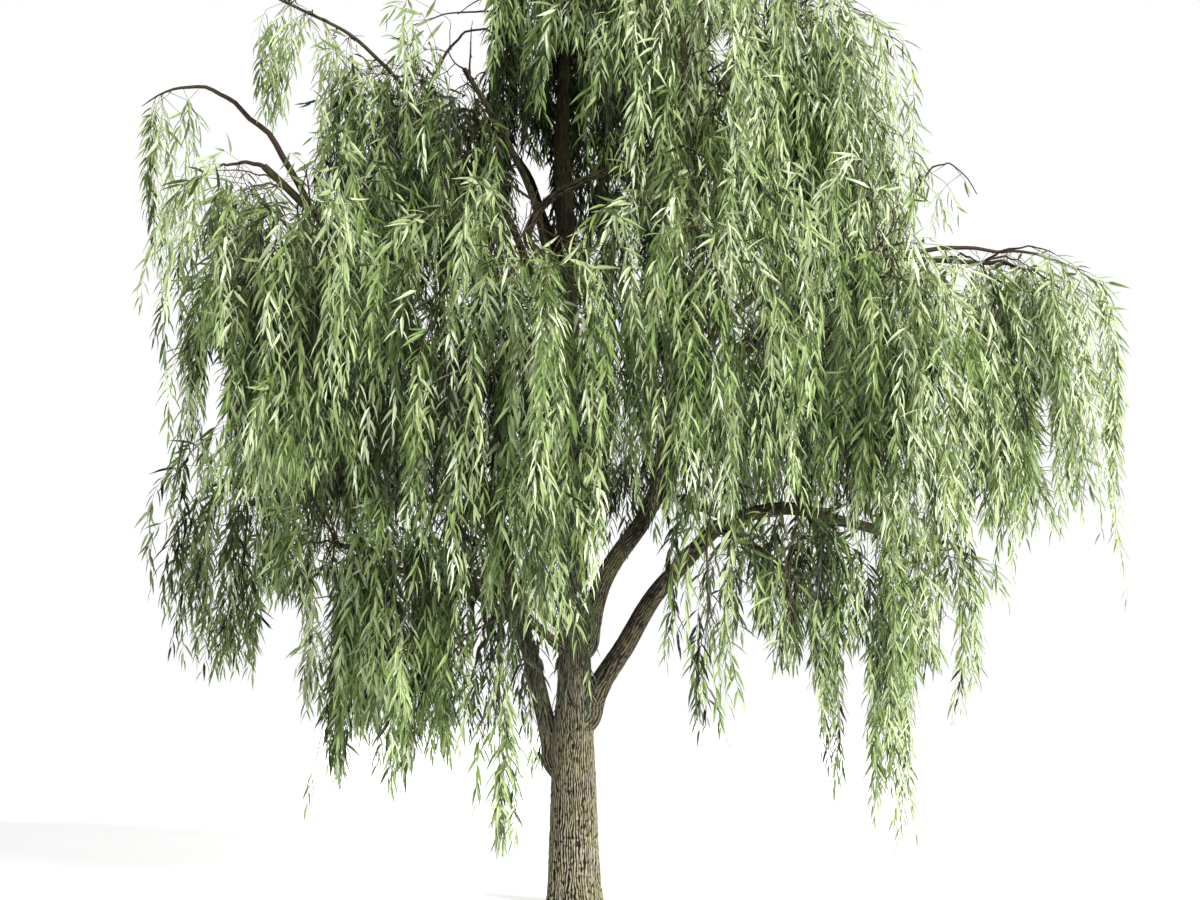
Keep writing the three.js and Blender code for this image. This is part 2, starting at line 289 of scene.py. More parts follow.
def bark_group():
    """Colour by height on the relief, with painted shade in the furrows, made uneven by the grain, with
    patches of lichen, and darker walls and crests where the bark is young and where shade is painted on
    it.
    """
    group = bpy.data.node_groups.new("ridged_bark", "ShaderNodeTree")
    add_sockets(group)
    given = add_node(group, "NodeGroupInput").outputs
    result = add_node(group, "NodeGroupOutput").inputs
    relief, age_and_shade = (
        add_node(group, "ShaderNodeAttribute", attribute_name=name).outputs["Fac"]
        for name in ("relief", "age_and_shade")
    )
    place = add_node(group, "ShaderNodeTexCoord").outputs["Object"]
    stretch = add_node(group, "ShaderNodeMapping")
    stretch.inputs["Scale"].default_value = GRAIN_STRETCH
    grain = noise(group, stretch.outputs["Vector"], GRAIN_DETAIL)
    mottle = noise(group, place, MOTTLE_DETAIL)
    mottle.inputs["Scale"].default_value = MOTTLE_SIZE
    uneven = add_node(group, "ShaderNodeMath", operation="MULTIPLY_ADD")
    uneven.inputs[1].default_value = UNEVEN
    height = add_node(group, "ShaderNodeMath", operation="SUBTRACT")
    height.inputs[1].default_value = UNEVEN / 2
    share = add_node(group, "ShaderNodeMath", operation="MULTIPLY")

    # young bark, and on the trunk painted shade under the crown, take the darker wall and crest
    wall = blend(group, age_and_shade, given["Young And Shaded Wall"], given["Wall"])
    crest = blend(group, age_and_shade, given["Young And Shaded Crest"], given["Crest"])
    low = mapped(group, height.outputs[0], WALL_FROM, (0, 1))
    high = mapped(group, height.outputs[0], CREST_FROM, (0, 1))
    bare = blend(group, high, blend(group, low, given["Furrow And Shade"], wall), crest)
    patches = mapped(group, mottle.outputs["Fac"], LICHEN_FROM, (0, 1))
    grown_over = blend(group, share.outputs[0], bare, given["Lichen"])
    wire(
        group,
        (place, stretch.inputs["Vector"]),
        (given["Grain Size"], grain.inputs["Scale"]),
        (grain.outputs["Fac"], uneven.inputs[0]),
        (relief, uneven.inputs[2]),
        (uneven.outputs[0], height.inputs[0]),
        (patches, share.inputs[0]),
        (given["Lichen Share"], share.inputs[1]),
        (blend(group, low, given["Furrow And Shade"], grown_over), result["Colour"]),
        (mapped(group, high, (0, 1), BARK_ROUGHNESS), result["Roughness"]),
        (grain.outputs["Fac"], result["Grain"]),
    )
    return group


BARK_GROUP = bark_group()
print("bark group with inputs", [*BARK_COLOURS, *BARK_AMOUNTS])

# %% Bark materials for the trunk and for the limbs
BARK_SHINE = 0.25
GRAIN_STRENGTH = 0.6


def bark_material(name, grain_height, **values):
    """Places the bark group in a material, with its own values, and turns the grain into bump."""
    material = bpy.data.materials.new(name)
    material.use_nodes = True
    tree = material.node_tree
    shader = tree.nodes["Principled BSDF"]
    shader.inputs["Specular IOR Level"].default_value = BARK_SHINE
    bark = add_node(tree, "ShaderNodeGroup", node_tree=BARK_GROUP)
    for socket, value in values.items():
        bark.inputs[socket.replace("_", " ")].default_value = value
    bump = add_node(tree, "ShaderNodeBump")
    bump.inputs["Strength"].default_value = GRAIN_STRENGTH
    bump.inputs["Distance"].default_value = grain_height
    wire(
        tree,
        (bark.outputs["Colour"], shader.inputs["Base Color"]),
        (bark.outputs["Roughness"], shader.inputs["Roughness"]),
        (bark.outputs["Grain"], bump.inputs["Height"]),
        (bump.outputs["Normal"], shader.inputs["Normal"]),
    )
    return material


trunk_bark = bark_material("furrowed_bark", grain_height=0.006)
limb_bark = bark_material("limb_bark", grain_height=0.004, Lichen_Share=0.3, Grain_Size=130.0)
print("bark materials:", trunk_bark.name, limb_bark.name)

# %% [markdown]
# ## Reading the wood from the model
#
# The model's limbs are plain faceted tubes. To grow bark on one, two things are needed: its
# middle line and how thick it is along that line. The trunk is nearly upright, so level cuts
# through its solid give both, and also the swellings of its foot. A limb bends, so points are
# spread over its skin and sorted by how much nearer they are to one end than to the other. The
# mean of each group is a point of a first line. The points are then sorted along that line, the
# means taken again, and after a few rounds the line runs down the middle. Lines could be written
# down instead, but then the bark would no longer follow the model when the model changes.

# %% Triangles of a node
TINY = 1e-9  # keeps a division by nothing from failing


def triangles_of(node):
    """The corners of a CAD node's triangles: an array of triangle, corner and coordinate."""
    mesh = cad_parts[node].data
    points = np.empty(len(mesh.vertices) * 3)
    mesh.vertices.foreach_get("co", points)
    mesh.calc_loop_triangles()
    corners = np.empty(len(mesh.loop_triangles) * 3, dtype=int)
    mesh.loop_triangles.foreach_get("vertices", corners)
    return points.reshape(-1, 3)[corners].reshape(-1, 3, 3)


def unit(vectors):
    """Each vector divided by its length."""
    return vectors / np.maximum(np.linalg.norm(vectors, axis=-1, keepdims=True), TINY)


# %% The trunk's middle line and outline, from level cuts
TRUNK_SIDES = 288
TRUNK_ROWS = 310
ROW_CROWDING = 1.5  # rows crowd towards the foot, where the bark is coarse
TRUNK_STATIONS = 40  # points of its middle line
CUT_GAPS = (0.002, 0.02)  # the lowest and the highest cut stay this far inside the ends


def level_cut(triangles, height):
    """Where the edges of the triangles cross a level: p + (q - p) * (height - pz)/(qz - pz)."""
    starts = triangles.reshape(-1, 3)
    ends = np.roll(triangles, -1, axis=1).reshape(-1, 3)
    crossing = (starts[:, 2] - height) * (ends[:, 2] - height) < 0
    p, q = starts[crossing], ends[crossing]
    share = (height - p[:, 2:]) / (q[:, 2:] - p[:, 2:])
    return (p + (q - p) * share)[:, :2]


def outline_round(points, angles):
    """The middle of a cut, and its radius in each direction, filled in between its points."""
    middle = (points.min(axis=0) + points.max(axis=0)) / 2
    offset = points - middle
    heading = np.arctan2(offset[:, 1], offset[:, 0])
    order = np.argsort(heading)
    radius = np.linalg.norm(offset, axis=1)
    return middle, np.interp(angles, heading[order], radius[order], period=2 * np.pi)


trunk_triangles = triangles_of("trunk")
trunk_top = trunk_triangles[:, :, 2].max()
lowest_cut, highest_cut = CUT_GAPS[0], trunk_top - CUT_GAPS[1]
trunk_heights = trunk_top * np.linspace(0, 1, TRUNK_ROWS) ** ROW_CROWDING
trunk_angles = np.linspace(0, 2 * np.pi, TRUNK_SIDES, endpoint=False)
cuts = [
    outline_round(level_cut(trunk_triangles, np.clip(h, lowest_cut, highest_cut)), trunk_angles)
    for h in trunk_heights
]
trunk_middle = np.column_stack([np.array([middle for middle, _ in cuts]), trunk_heights])
trunk_radius = np.array([radius for _, radius in cuts])
print("the trunk is", round(float(trunk_top), 2), "m tall,",
      round(2 * float(trunk_radius[0].mean()), 3), "m thick at the ground")

# %% A limb's middle line, from points on its skin
SKIN_POINTS = 6000
STATION = 0.12  # step between the groups of points
LINE_ROUNDS = 6
FEWEST_GROUPS, MOST_GROUPS = 8, 36
BEND_LIMIT = 1.3  # a group this much thicker than the usual one lies round a sharp bend
FACET_FILL = 1.07  # a six-sided tube's skin lies this much nearer its middle than its corners


def skin_points(triangles, count, rng):
    """Points spread evenly over the skin: a + s(b - a) + t(c - a), with s + t folded below 1."""
    a, b, c = triangles[:, 0], triangles[:, 1], triangles[:, 2]
    area = np.linalg.norm(np.cross(b - a, c - a), axis=1)
    pick = rng.choice(len(triangles), count, p=area / area.sum())
    s, t = rng.random((2, count, 1))
    over = s + t > 1
    s, t = np.where(over, 1 - s, s), np.where(over, 1 - t, t)
    return a[pick] + s * (b - a)[pick] + t * (c - a)[pick]


def travelled_along(line):
    """How far along a bent line each of its points lies: the sum of the steps before it."""
    return np.concatenate([[0], np.cumsum(np.linalg.norm(np.diff(line, axis=0), axis=1))])


def along_line(points, line):
    """For each point, how far along a bent line its nearest place is, and how far off it lies."""
    start, step = line[:-1], np.diff(line, axis=0)
    length = np.linalg.norm(step, axis=1)
    reach = points[:, None, :] - start[None]
    share = np.clip((reach * step).sum(-1) / length**2, 0, 1)
    gap = np.linalg.norm(reach - share[..., None] * step, axis=-1)
    nearest = gap.argmin(axis=1)
    rows = np.arange(len(points))
    place = travelled_along(line)[nearest] + share[rows, nearest] * length[nearest]
    return place, gap[rows, nearest]


def evenly(line, count):
    """The same bent line, as points at equal steps along it."""
    travelled = travelled_along(line)
    wanted = np.linspace(0, travelled[-1], count)
    return np.column_stack([np.interp(wanted, travelled, line[:, i]) for i in range(3)])


def middles_of(points, share, stations):
    """The points sorted into equal shares of the way, the mean of each group, and its size."""
    group = np.clip((share * stations).astype(int), 0, stations - 1)
    count = np.maximum(np.bincount(group, minlength=stations), 1)
    sums = [np.bincount(group, points[:, i], stations) for i in range(3)]
    return np.column_stack(sums) / count[:, None], group, count


def carried_on(middle):
    """A line through the means, carried on by half a step at both ends."""
    first = middle[0] + (middle[0] - middle[1]) / 2
    last = middle[-1] + (middle[-1] - middle[-2]) / 2
    return np.vstack([first, (middle[:-1] + middle[1:]) / 2, last])


def read_limb(node, rng):
    """Middle line and radius of a limb, foot first, from groups of skin points."""
    points = skin_points(triangles_of(node), SKIN_POINTS, rng)
    one_end = points[np.linalg.norm(points - points.mean(axis=0), axis=1).argmax()]
    from_one = np.linalg.norm(points - one_end, axis=1)
    other_end = points[from_one.argmax()]
    from_other = np.linalg.norm(points - other_end, axis=1)
    stations = int(np.clip(from_one.max() / STATION, FEWEST_GROUPS, MOST_GROUPS))
    line = carried_on(middles_of(points, from_one / (from_one + from_other), stations)[0])
    for _ in range(LINE_ROUNDS):
        place, gap = along_line(points, line)
        middle, group, count = middles_of(points, place / place.max(), stations)
        radius = np.bincount(group, gap, stations) / count
        line = evenly(carried_on(middle), stations)
    share = np.linspace(0, 1, stations)
    plain = radius < BEND_LIMIT * np.median(radius)
    radius = np.polyval(np.polyfit(share[plain], radius[plain], 1), share) * FACET_FILL
    if radius[0] < radius[-1]:
        line, radius = line[::-1], radius[::-1]
    return line, radius


reading_rng = np.random.default_rng(11)
wood = {name: read_limb(name, reading_rng) for name in LIMBS}
trunk_line = evenly(trunk_middle, TRUNK_STATIONS)
trunk_mean = np.interp(trunk_line[:, 2], trunk_heights, trunk_radius.mean(axis=1))
print("thickest limb", max(wood, key=lambda name: wood[name][1][0]),
      "thinnest end", round(float(min(radius[-1] for _, radius in wood.values())), 3), "m")

# %% [markdown]
# ## Making meshes from arrays
#
# Tubes, branchlets and leaves all end in the same step: an array of points and an array of
# triangles become a mesh. Blender takes whole arrays at once, which is quick even for ninety
# thousand leaves. A tube is a set of rings, joined by two triangles for each patch, with a fan
# closing each end.

# %% From arrays to a piece
def new_piece(name, points, triangles, materials, replaced, smooth=True, shades=None):
    """Puts points and triangles into a mesh that rides on the tree, for the nodes it replaces."""
    mesh = bpy.data.meshes.new(name)
    mesh.vertices.add(len(points))
    mesh.vertices.foreach_set("co", np.ascontiguousarray(points, dtype=np.float32).ravel())
    mesh.loops.add(triangles.size)
    mesh.loops.foreach_set("vertex_index", triangles.astype(np.int32).ravel())
    mesh.polygons.add(len(triangles))
    mesh.polygons.foreach_set("loop_start", np.arange(0, triangles.size, 3, dtype=np.int32))
    mesh.polygons.foreach_set("use_smooth", np.full(len(triangles), smooth))
    for material in materials:
        mesh.materials.append(material)
    if shades is not None:
        mesh.polygons.foreach_set("material_index", shades.astype(np.int32))
    mesh.update(calc_edges=True)
    piece = bpy.data.objects.new(name, mesh)
    bpy.context.collection.objects.link(piece)
    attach(piece, "root")
    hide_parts(*replaced)
    return piece


def tube_triangles(rings, sides):
    """Triangles of a closed tube: ring points in order, then the middles of its two ends."""
    ring, side = np.meshgrid(np.arange(rings - 1), np.arange(sides), indexing="ij")
    here = ring * sides + side
    beside = ring * sides + (side + 1) % sides
    patch = np.stack([here, beside, beside + sides, here, beside + sides, here + sides], axis=-1)
    rim = np.arange(sides)
    beyond = (rim + 1) % sides
    last = (rings - 1) * sides
    foot, tip = np.full(sides, rings * sides), np.full(sides, rings * sides + 1)
    return np.concatenate([
        patch.reshape(-1, 3),
        np.column_stack([foot, beyond, rim]),
        np.column_stack([tip, last + rim, last + beyond]),
    ])


# %% [markdown]
# ## The relief of the bark
#
# The skin is laid out flat, with u round the limb, counted in ridges, and v along it. Straight
# furrows would lie wherever u is a whole number. A smooth random shift is added to u, large
# enough that neighbouring furrows run into each other and part again, and a finer one that makes
# them tremble. The size of sin(pi * u) is then 0 in a furrow and 1 on a ridge. A second random
# field says how deep the furrows are here, because no two sides of a trunk crack alike.

# %% A soft step and a smooth noise
def soft_step(value, low, high):
    """0 below low, 1 above high, and 3t^2 - 2t^3 between them."""
    t = np.clip((value - low) / (high - low), 0, 1)
    return t * t * (3 - 2 * t)


def smooth_noise(u, v, columns, rng):
    """Random numbers on a grid of whole u and v, closed round u, blended by 3t^2 - 2t^3 between."""
    rows = int(v.max()) + 3
    table = rng.random((rows, columns))
    column, row = np.floor(u).astype(int), np.floor(v).astype(int)
    s, t = soft_step(u - column, 0, 1), soft_step(v - row, 0, 1)
    left, right = column % columns, (column + 1) % columns
    low = table[row, left] * (1 - s) + table[row, right] * s
    high = table[row + 1, left] * (1 - s) + table[row + 1, right] * s
    return low * (1 - t) + high * t


# %% Height of the bark
# each shift: its columns for one ridge, its rows for one ridge length, and its size in ridges
SHIFTS = ((0.5, 1.0, 1.25), (1.0, 2.6, 0.5), (2.0, 8.0, 0.2))
RIDGE_EDGES = (0.1, 0.9)  # the parts of the wave that turn into furrow floor and ridge top
DEPTH_RANGE = (0.75, 1.0)
BRIDGED = 0.65  # how much of a furrow a bridge of bark fills
CRACKED = 0.36
FLAKED = 0.2
# each pattern: its rows for one ridge length, and the noise at which it starts and is full
DEEPER = (0.7, 0.25, 0.75)
BRIDGES = (2.2, 0.62, 0.85)
CRACKS = (7, 0.6, 0.9)
FLAKE_ROWS = 6


def bark_height(angle, distance, ridges, ridge_length, rng):
    """0 in a furrow and 1 on a crest: the size of sin(pi * (u + shifts)), sharpened and deepened."""
    turn = angle / (2 * np.pi)
    v = distance / ridge_length

    def field(columns, rate):
        return smooth_noise(turn * columns, rate * v, columns, rng)

    def pattern(columns, rate, start, full):
        return soft_step(field(columns, rate), start, full)

    shift = sum(size * field(int(finer * ridges), rate) for finer, rate, size in SHIFTS)
    ridge = soft_step(np.abs(np.sin(np.pi * (turn * ridges + shift))), *RIDGE_EDGES)
    shallow, deep = DEPTH_RANGE
    depth = shallow + (deep - shallow) * pattern(max(ridges // 3, 2), *DEEPER)
    bridges = pattern(ridges, *BRIDGES)
    cracks = pattern(ridges, *CRACKS)
    flakes = field(2 * ridges, FLAKE_ROWS)
    furrows = depth * (1 - BRIDGED * bridges) * (1 - ridge)
    return np.clip(1 - furrows - CRACKED * cracks - FLAKED * flakes, 0, 1)


# %% [markdown]
# ## Trunk and limbs
#
# A limb is a circle carried along its middle line. A curve object with a round bevel would make
# such a tube too, but not its furrows or its forks, so the rings are worked out point by point.
# A limb is thicker by a collar where it leaves the wood under it, wanders a little to either side
# as live wood does, and its foot is sunk into the parent. Where two pieces of wood meet, both
# swell towards each other: a point that is d away from the other's skin moves out by
# k/4 * (1 - d/k)^2, which makes one smooth fork of the two.

# %% Smooth lines and the frames along them
NEARLY_UPRIGHT = 0.02  # a line that leans less than this takes another reference


def smooth_line(points, per_step):
    """A curve through the points that leaves each one parallel to the line between its neighbours."""
    before = np.vstack([2 * points[0] - points[1], points[:-1]])
    after = np.vstack([points[1:], 2 * points[-1] - points[-2]])
    slope = (after - before) / 2
    t = (np.arange(per_step) / per_step)[:, None]
    a, b = points[:-1, None], points[1:, None]
    m, n = slope[:-1, None], slope[1:, None]
    curve = (
        (2 * t**3 - 3 * t**2 + 1) * a
        + (t**3 - 2 * t**2 + t) * m
        + (3 * t**2 - 2 * t**3) * b
        + (t**3 - t**2) * n
    )
    return np.vstack([curve.reshape(-1, points.shape[1]), points[-1:]])


def frames_along(lines):
    """Two directions square to each line: one from a level reference, one across it and the line."""
    ahead = unit(np.gradient(lines, axis=-2))
    chord = lines[..., -1:, :] - lines[..., :1, :]
    level = np.cross(chord, UP)
    level = np.where(np.linalg.norm(level, axis=-1, keepdims=True) < NEARLY_UPRIGHT, [1.0, 0, 0], level)
    side = unit(level - (level * ahead).sum(-1, keepdims=True) * ahead)
    return side, np.cross(ahead, side)


# %% How wood swells at a fork
FILLET = 0.7  # reach of a fork's smooth joint, in radii of the thinner wood


def swell(points, size, others):
    """How far each point moves out for the fork: the largest k/4 * (1 - d/k)^2 of the other wood."""
    rise = np.zeros(len(points))
    for line, radius in others:
        place, gap = along_line(points, line)
        thickness = np.interp(place, travelled_along(line), radius)
        reach = FILLET * np.minimum(size, thickness)
        away = np.abs(gap - thickness)
        rise = np.maximum(rise, reach / 4 * np.clip(1 - away / reach, 0, 1) ** 2)
    return rise


# %% Which wood each limb leaves from
ROOT_REACH = 0.9  # how far back the search for the parent's heart looks, in distances to it
HEART_STATIONS = 300  # points on the parent's middle line that are tried


def parent_of(name):
    """The thicker piece of wood that a limb's foot is nearest to, skin to skin."""
    foot, size = wood[name][0][:1], wood[name][1][0]
    thicker = {other: path for other, path in every_line.items() if path[1].max() > size}
    thicker.pop(name, None)
    gaps = {
        other: along_line(foot, line)[1][0] - radius[0] for other, (line, radius) in thicker.items()
    }
    return min(gaps, key=gaps.get)


every_line = {**wood, "trunk": (trunk_line, trunk_mean)}
parents = {name: parent_of(name) for name in LIMBS}


def rooted(name):
    """A limb's middle line, carried on from its foot to the middle of its parent."""
    line, radius = wood[name]
    path = evenly(every_line[parents[name]][0], HEART_STATIONS)
    reach = np.linalg.norm(path - line[0], axis=1).min()
    behind = line[0] + ROOT_REACH * reach * unit(line[0] - line[2])
    heart = path[np.linalg.norm(path - behind, axis=1).argmin()]
    return np.vstack([heart, line]), np.concatenate([radius[:1], radius])


def joined_to(name):
    """The wood that a piece shares a fork with: its parent, and whatever leaves from it."""
    names = [parents[name]] if name in parents else []
    names += [other for other, parent in parents.items() if parent == name]
    return [every_line[other] for other in names]


print("leaving the trunk:", sum(parent == "trunk" for parent in parents.values()))

# %% Build the trunk
TRUNK_RIDGES = 60
TRUNK_RIDGE_LENGTH = 0.105
TRUNK_RELIEF = 0.012
SKIN_LEVEL = 0.8  # the height on the relief that lies on the model's own skin
THINNING = 0.8  # the furrows get shallower as the trunk's radius to this power
TIP_RISE = 0.01
PAINTED_SHADE_STARTS = 1.2  # the trunk's bark is pale up to here, and above it takes painted shade from the crown
PAINTED_SHADE_FULL = 2.1


def add_layer(piece, name, values):
    """Stores a number on each point of the skin, for the colour to follow."""
    layer = piece.data.attributes.new(name, "FLOAT", "POINT")
    layer.data.foreach_set("value", np.append(values.ravel(), values.ravel()[[0, -1]]))


def build_trunk():
    """point = middle(h) + outline(h, angle) * direction, sunk by the furrows and swelled at forks."""
    rng = np.random.default_rng(21)
    angle, height = np.meshgrid(trunk_angles, trunk_heights)
    bark = bark_height(angle, height, TRUNK_RIDGES, TRUNK_RIDGE_LENGTH, rng)
    outward = np.stack([np.cos(angle), np.sin(angle), np.zeros_like(angle)], axis=-1)
    mean = trunk_radius.mean(axis=1, keepdims=True)
    depth = TRUNK_RELIEF * (mean / mean[0]) ** THINNING
    skin = trunk_middle[:, None, :] + trunk_radius[..., None] * outward
    size = np.broadcast_to(mean, angle.shape)
    rise = swell(skin.reshape(-1, 3), size.ravel(), joined_to("trunk")).reshape(angle.shape)
    skin = skin + (rise + depth * (bark - SKIN_LEVEL))[..., None] * outward
    points = np.vstack([skin.reshape(-1, 3), trunk_middle[:1], trunk_middle[-1:] + TIP_RISE * UP])
    points[:, 2] = np.maximum(points[:, 2], 0)
    triangles = tube_triangles(*angle.shape)
    piece = new_piece("trunk_wood", points, triangles, [trunk_bark], ["trunk"])
    add_layer(piece, "relief", bark)
    # painted shade: the trunk's bark darkens above its foot, as under the crown's shade
    add_layer(piece, "age_and_shade", 1 - soft_step(height, PAINTED_SHADE_STARTS, PAINTED_SHADE_FULL))
    return piece


trunk_piece = build_trunk()
print("trunk:", len(trunk_piece.data.polygons), "triangles")

# %% Build the limbs and boughs
LIMB_ROW = 0.022  # step between rings of the fine surface
RIDGE_WIDTH = 0.024
STEPS_PER_STATION = 6
SKIN_STEP = 0.0075  # between points round a limb
FEWEST_SIDES, MOST_SIDES = 20, 72
FEWEST_RIDGES = 6
RIDGE_STRETCH = 4  # a ridge is this much longer than wide
BURIED_SIZE = 0.5  # the radius in the parent's heart, as a share of the one at the foot
COLLAR = 0.05
COLLAR_FADE = 0.16
DRIFT = 0.4  # how far a limb wanders to either side, in radii
DRIFT_RATES = (4.1, 5.3)
KNOTS = 0.05  # low swellings that wind round a limb, as a share of its radius
KNOT_SIDES = 3
KNOT_TURN = 2.3
LIMB_RELIEF = 0.09
LIMB_LEVEL = 0.7
AGE_AT_FOOT = 0.5
AGE_FADE = 0.5


def limb_path(name, wander):
    """A limb's fine middle line with its drift, the way along it, its radius, and its buried part."""
    line, radius = rooted(name)
    buried = np.linalg.norm(line[1] - line[0])
    smooth = smooth_line(line, STEPS_PER_STATION)
    length = np.linalg.norm(np.diff(smooth, axis=0), axis=1).sum()
    rings = int(length / LIMB_ROW)
    middle = evenly(smooth, rings)
    place = np.linspace(0, length, rings)
    size = np.interp(place, np.linspace(0, length, len(radius)), radius)
    size = size * (BURIED_SIZE + (1 - BURIED_SIZE) * soft_step(place, 0, buried))
    drift = DRIFT * size * np.sin(np.pi * place / length)
    for across, rate, start in zip(frames_along(middle), DRIFT_RATES, wander):
        middle = middle + across * (drift * np.sin(place * rate + start))[:, None]
    return middle, place, size, buried


def build_limb(name, seed):
    """point = line(s) + (radius(s) + collar(s) + relief(s, angle)) * direction(angle)."""
    rng = np.random.default_rng(seed)
    wander = rng.random(4) * 2 * np.pi
    middle, place, size, buried = limb_path(name, wander)
    side, other = frames_along(middle)
    around = 2 * np.pi * wood[name][1][0]
    sides = int(np.clip(around / SKIN_STEP, FEWEST_SIDES, MOST_SIDES))
    ridges = int(max(FEWEST_RIDGES, round(around / RIDGE_WIDTH)))
    angles = np.linspace(0, 2 * np.pi, sides, endpoint=False)
    angle, distance = np.meshgrid(angles, place)
    bark = bark_height(angle, distance, ridges, RIDGE_STRETCH * RIDGE_WIDTH, rng)
    outward = np.cos(angle)[..., None] * side[:, None] + np.sin(angle)[..., None] * other[:, None]
    clear = np.maximum(place - buried, 0)
    size = size * (1 + COLLAR * np.exp(-clear / COLLAR_FADE))
    knots = 1 + KNOTS * np.sin(KNOT_SIDES * angle + KNOT_TURN * distance + wander[2])
    girth = size[:, None] * knots + LIMB_RELIEF * size[:, None] * (bark - LIMB_LEVEL)
    skin = middle[:, None] + girth[..., None] * outward
    rise = swell(skin.reshape(-1, 3), np.repeat(size, sides), joined_to(name)).reshape(angle.shape)
    skin = skin + rise[..., None] * outward
    points = np.vstack([skin.reshape(-1, 3), middle[:1], middle[-1:]])
    triangles = tube_triangles(*angle.shape)
    piece = new_piece(name + "_wood", points, triangles, [limb_bark], [name])
    add_layer(piece, "relief", bark)
    add_layer(piece, "age_and_shade", np.repeat(AGE_AT_FOOT * np.exp(-clear / AGE_FADE), sides))
    return piece


limb_pieces = [build_limb(name, 100 + i) for i, name in enumerate(LIMBS)]
print("limbs:", sum(len(piece.data.polygons) for piece in limb_pieces), "triangles")

# %% [markdown]
# ## Where the shoots hang
#
# A willow's leaves sit on long shoots that hang from the branchlets. So the first question
# for each mass of foliage is where its shoots start. Upright lines are dropped through the
# mass on a grid, and where each enters and leaves its skin is kept. A shoot may start anywhere
# between the two, more often where the mass is tall, and hangs until its length runs out or
# it comes to the underside. Hair particles could hang from the masses in the same way, but then
# their leaves could not be meshes of their own, and no branchlet would lead to them.

# %% Upright lines through a mass
COLUMN_STEP = 0.05
SHORTEST_COLUMN = 0.05  # a line that passes through less of a mass is left out


def columns_through(triangles):
    """Places of the upright lines that meet the mass, with the lowest and highest level inside it."""
    low, high = triangles.min(axis=(0, 1)), triangles.max(axis=(0, 1))
    xs = np.arange(low[0], high[0], COLUMN_STEP)
    ys = np.arange(low[1], high[1], COLUMN_STEP)
    spots = np.stack(np.meshgrid(xs, ys), axis=-1).reshape(-1, 1, 2)
    a, b, c = triangles[None, :, 0], triangles[None, :, 1], triangles[None, :, 2]
    ab, ac, ap = (b - a)[..., :2], (c - a)[..., :2], spots - a[..., :2]
    whole = ab[..., 0] * ac[..., 1] - ab[..., 1] * ac[..., 0]
    whole = np.where(np.abs(whole) < TINY, np.nan, whole)
    s = (ap[..., 0] * ac[..., 1] - ap[..., 1] * ac[..., 0]) / whole
    t = (ab[..., 0] * ap[..., 1] - ab[..., 1] * ap[..., 0]) / whole
    inside = (s >= 0) & (t >= 0) & (s + t <= 1)
    level = a[..., 2] + s * (b - a)[..., 2] + t * (c - a)[..., 2]
    bottom = np.where(inside, level, np.inf).min(axis=1)
    top = np.where(inside, level, -np.inf).max(axis=1)
    met = top > bottom + SHORTEST_COLUMN
    return spots[met, 0], bottom[met], top[met]


# %% Where branchlets can leave the limbs
LEAVING_FROM = 0.35  # branchlets leave a limb beyond this share of its length
LEAVING_TRUNK = 0.55  # and the trunk above this share of its height
LEAVING_STEPS = 3  # places for each station of a limb


def leaving_points():
    """Places on the outer part of every limb, and on the trunk's upper part."""
    places = [
        smooth_line(line, LEAVING_STEPS)[int(LEAVING_STEPS * len(line) * LEAVING_FROM):]
        for line, _ in wood.values()
    ]
    places.append(trunk_line[trunk_line[:, 2] > LEAVING_TRUNK * trunk_top])
    return np.vstack(places)


limb_places = leaving_points()
print(len(limb_places), "places to leave from")

# %% Traits of each mass
# a mass takes the row of the longest name that its own name starts with
SHOOTS_PER_CUBIC_METRE = 40
SHOOT_LENGTH = {
    "foliage": (0.9, 2.1),
    "foliage_low_right": (1.8, 2.9),
    "foliage_low_right_far": (0.9, 2.1),
    "foliage_low_right_front": (0.9, 2.1),
}
DENSITY = {  # times the usual number of shoots
    "foliage": 1.0,
    "foliage_left": 1.3,
    "foliage_low": 1.7,
    "foliage_low_left": 2.1,
    "foliage_low_front": 3.2,
    "foliage_low_front_left": 3.0,
    "foliage_low_right": 2.1,
    "foliage_low_right_far": 1.6,
    "foliage_low_right_front": 0.9,
    "foliage_low_front_right": 1.3,
    "foliage_left_shoulder": 0.52,
    "foliage_tress": 0.25,
    "foliage_right_arm": 1.2,
    "foliage_front": 1.6,
    "foliage_front_right": 1.5,
    "foliage_upper": 0.95,
    "foliage_upper_left": 1.2,
    "foliage_upper_right": 1.35,
    "foliage_right_shoulder": 1.15,
}
SINK = {  # above 1, starts crowd low in the mass; below 1, high up
    "foliage": 0.8,
    "foliage_left_shoulder": 2.8,
    "foliage_right_arm": 1.4,
    "foliage_right_shoulder": 1.4,
    "foliage_upper_front_left": 1.2,
    "foliage_upper_back_left": 1.2,
    "foliage_upper_right": 0.6,
}
SPARE = {"foliage": 0.06, "foliage_front_right": 0.32, "foliage_low_right": 0.12}  # lost in bending
INSET = {  # a shoot swings out before it hangs, so it starts this much further in
    "foliage": 0.19,
    "foliage_tress": 0.14,
    "foliage_right_arm": 0.28,
    "foliage_left_shoulder": 0.26,
}


def trait(table, name):
    """The value for the longest name in the table that this name starts with."""
    return table[max((key for key in table if name.startswith(key)), key=len)]


print("densest mass:", max(MASSES, key=lambda name: trait(DENSITY, name)))

# %% Start and length of every shoot
FEWEST_SHOOTS = 2
FEWEST_TRESSES = 4
TRESS = 4  # shoots that hang together
TRESS_SPREAD = 0.05
TOP_COVER = 0.04  # the highest start is this far under the top
START_SHARE = 0.92  # share of the height in which shoots start
LAST_HANG = 0.15  # the lowest start is this much higher than that
LEAST_HEIGHT = 0.02
ROOM = 0.24  # between the start of a shoot and the box of the whole tree
SHORTEST_SHOOT = 0.12


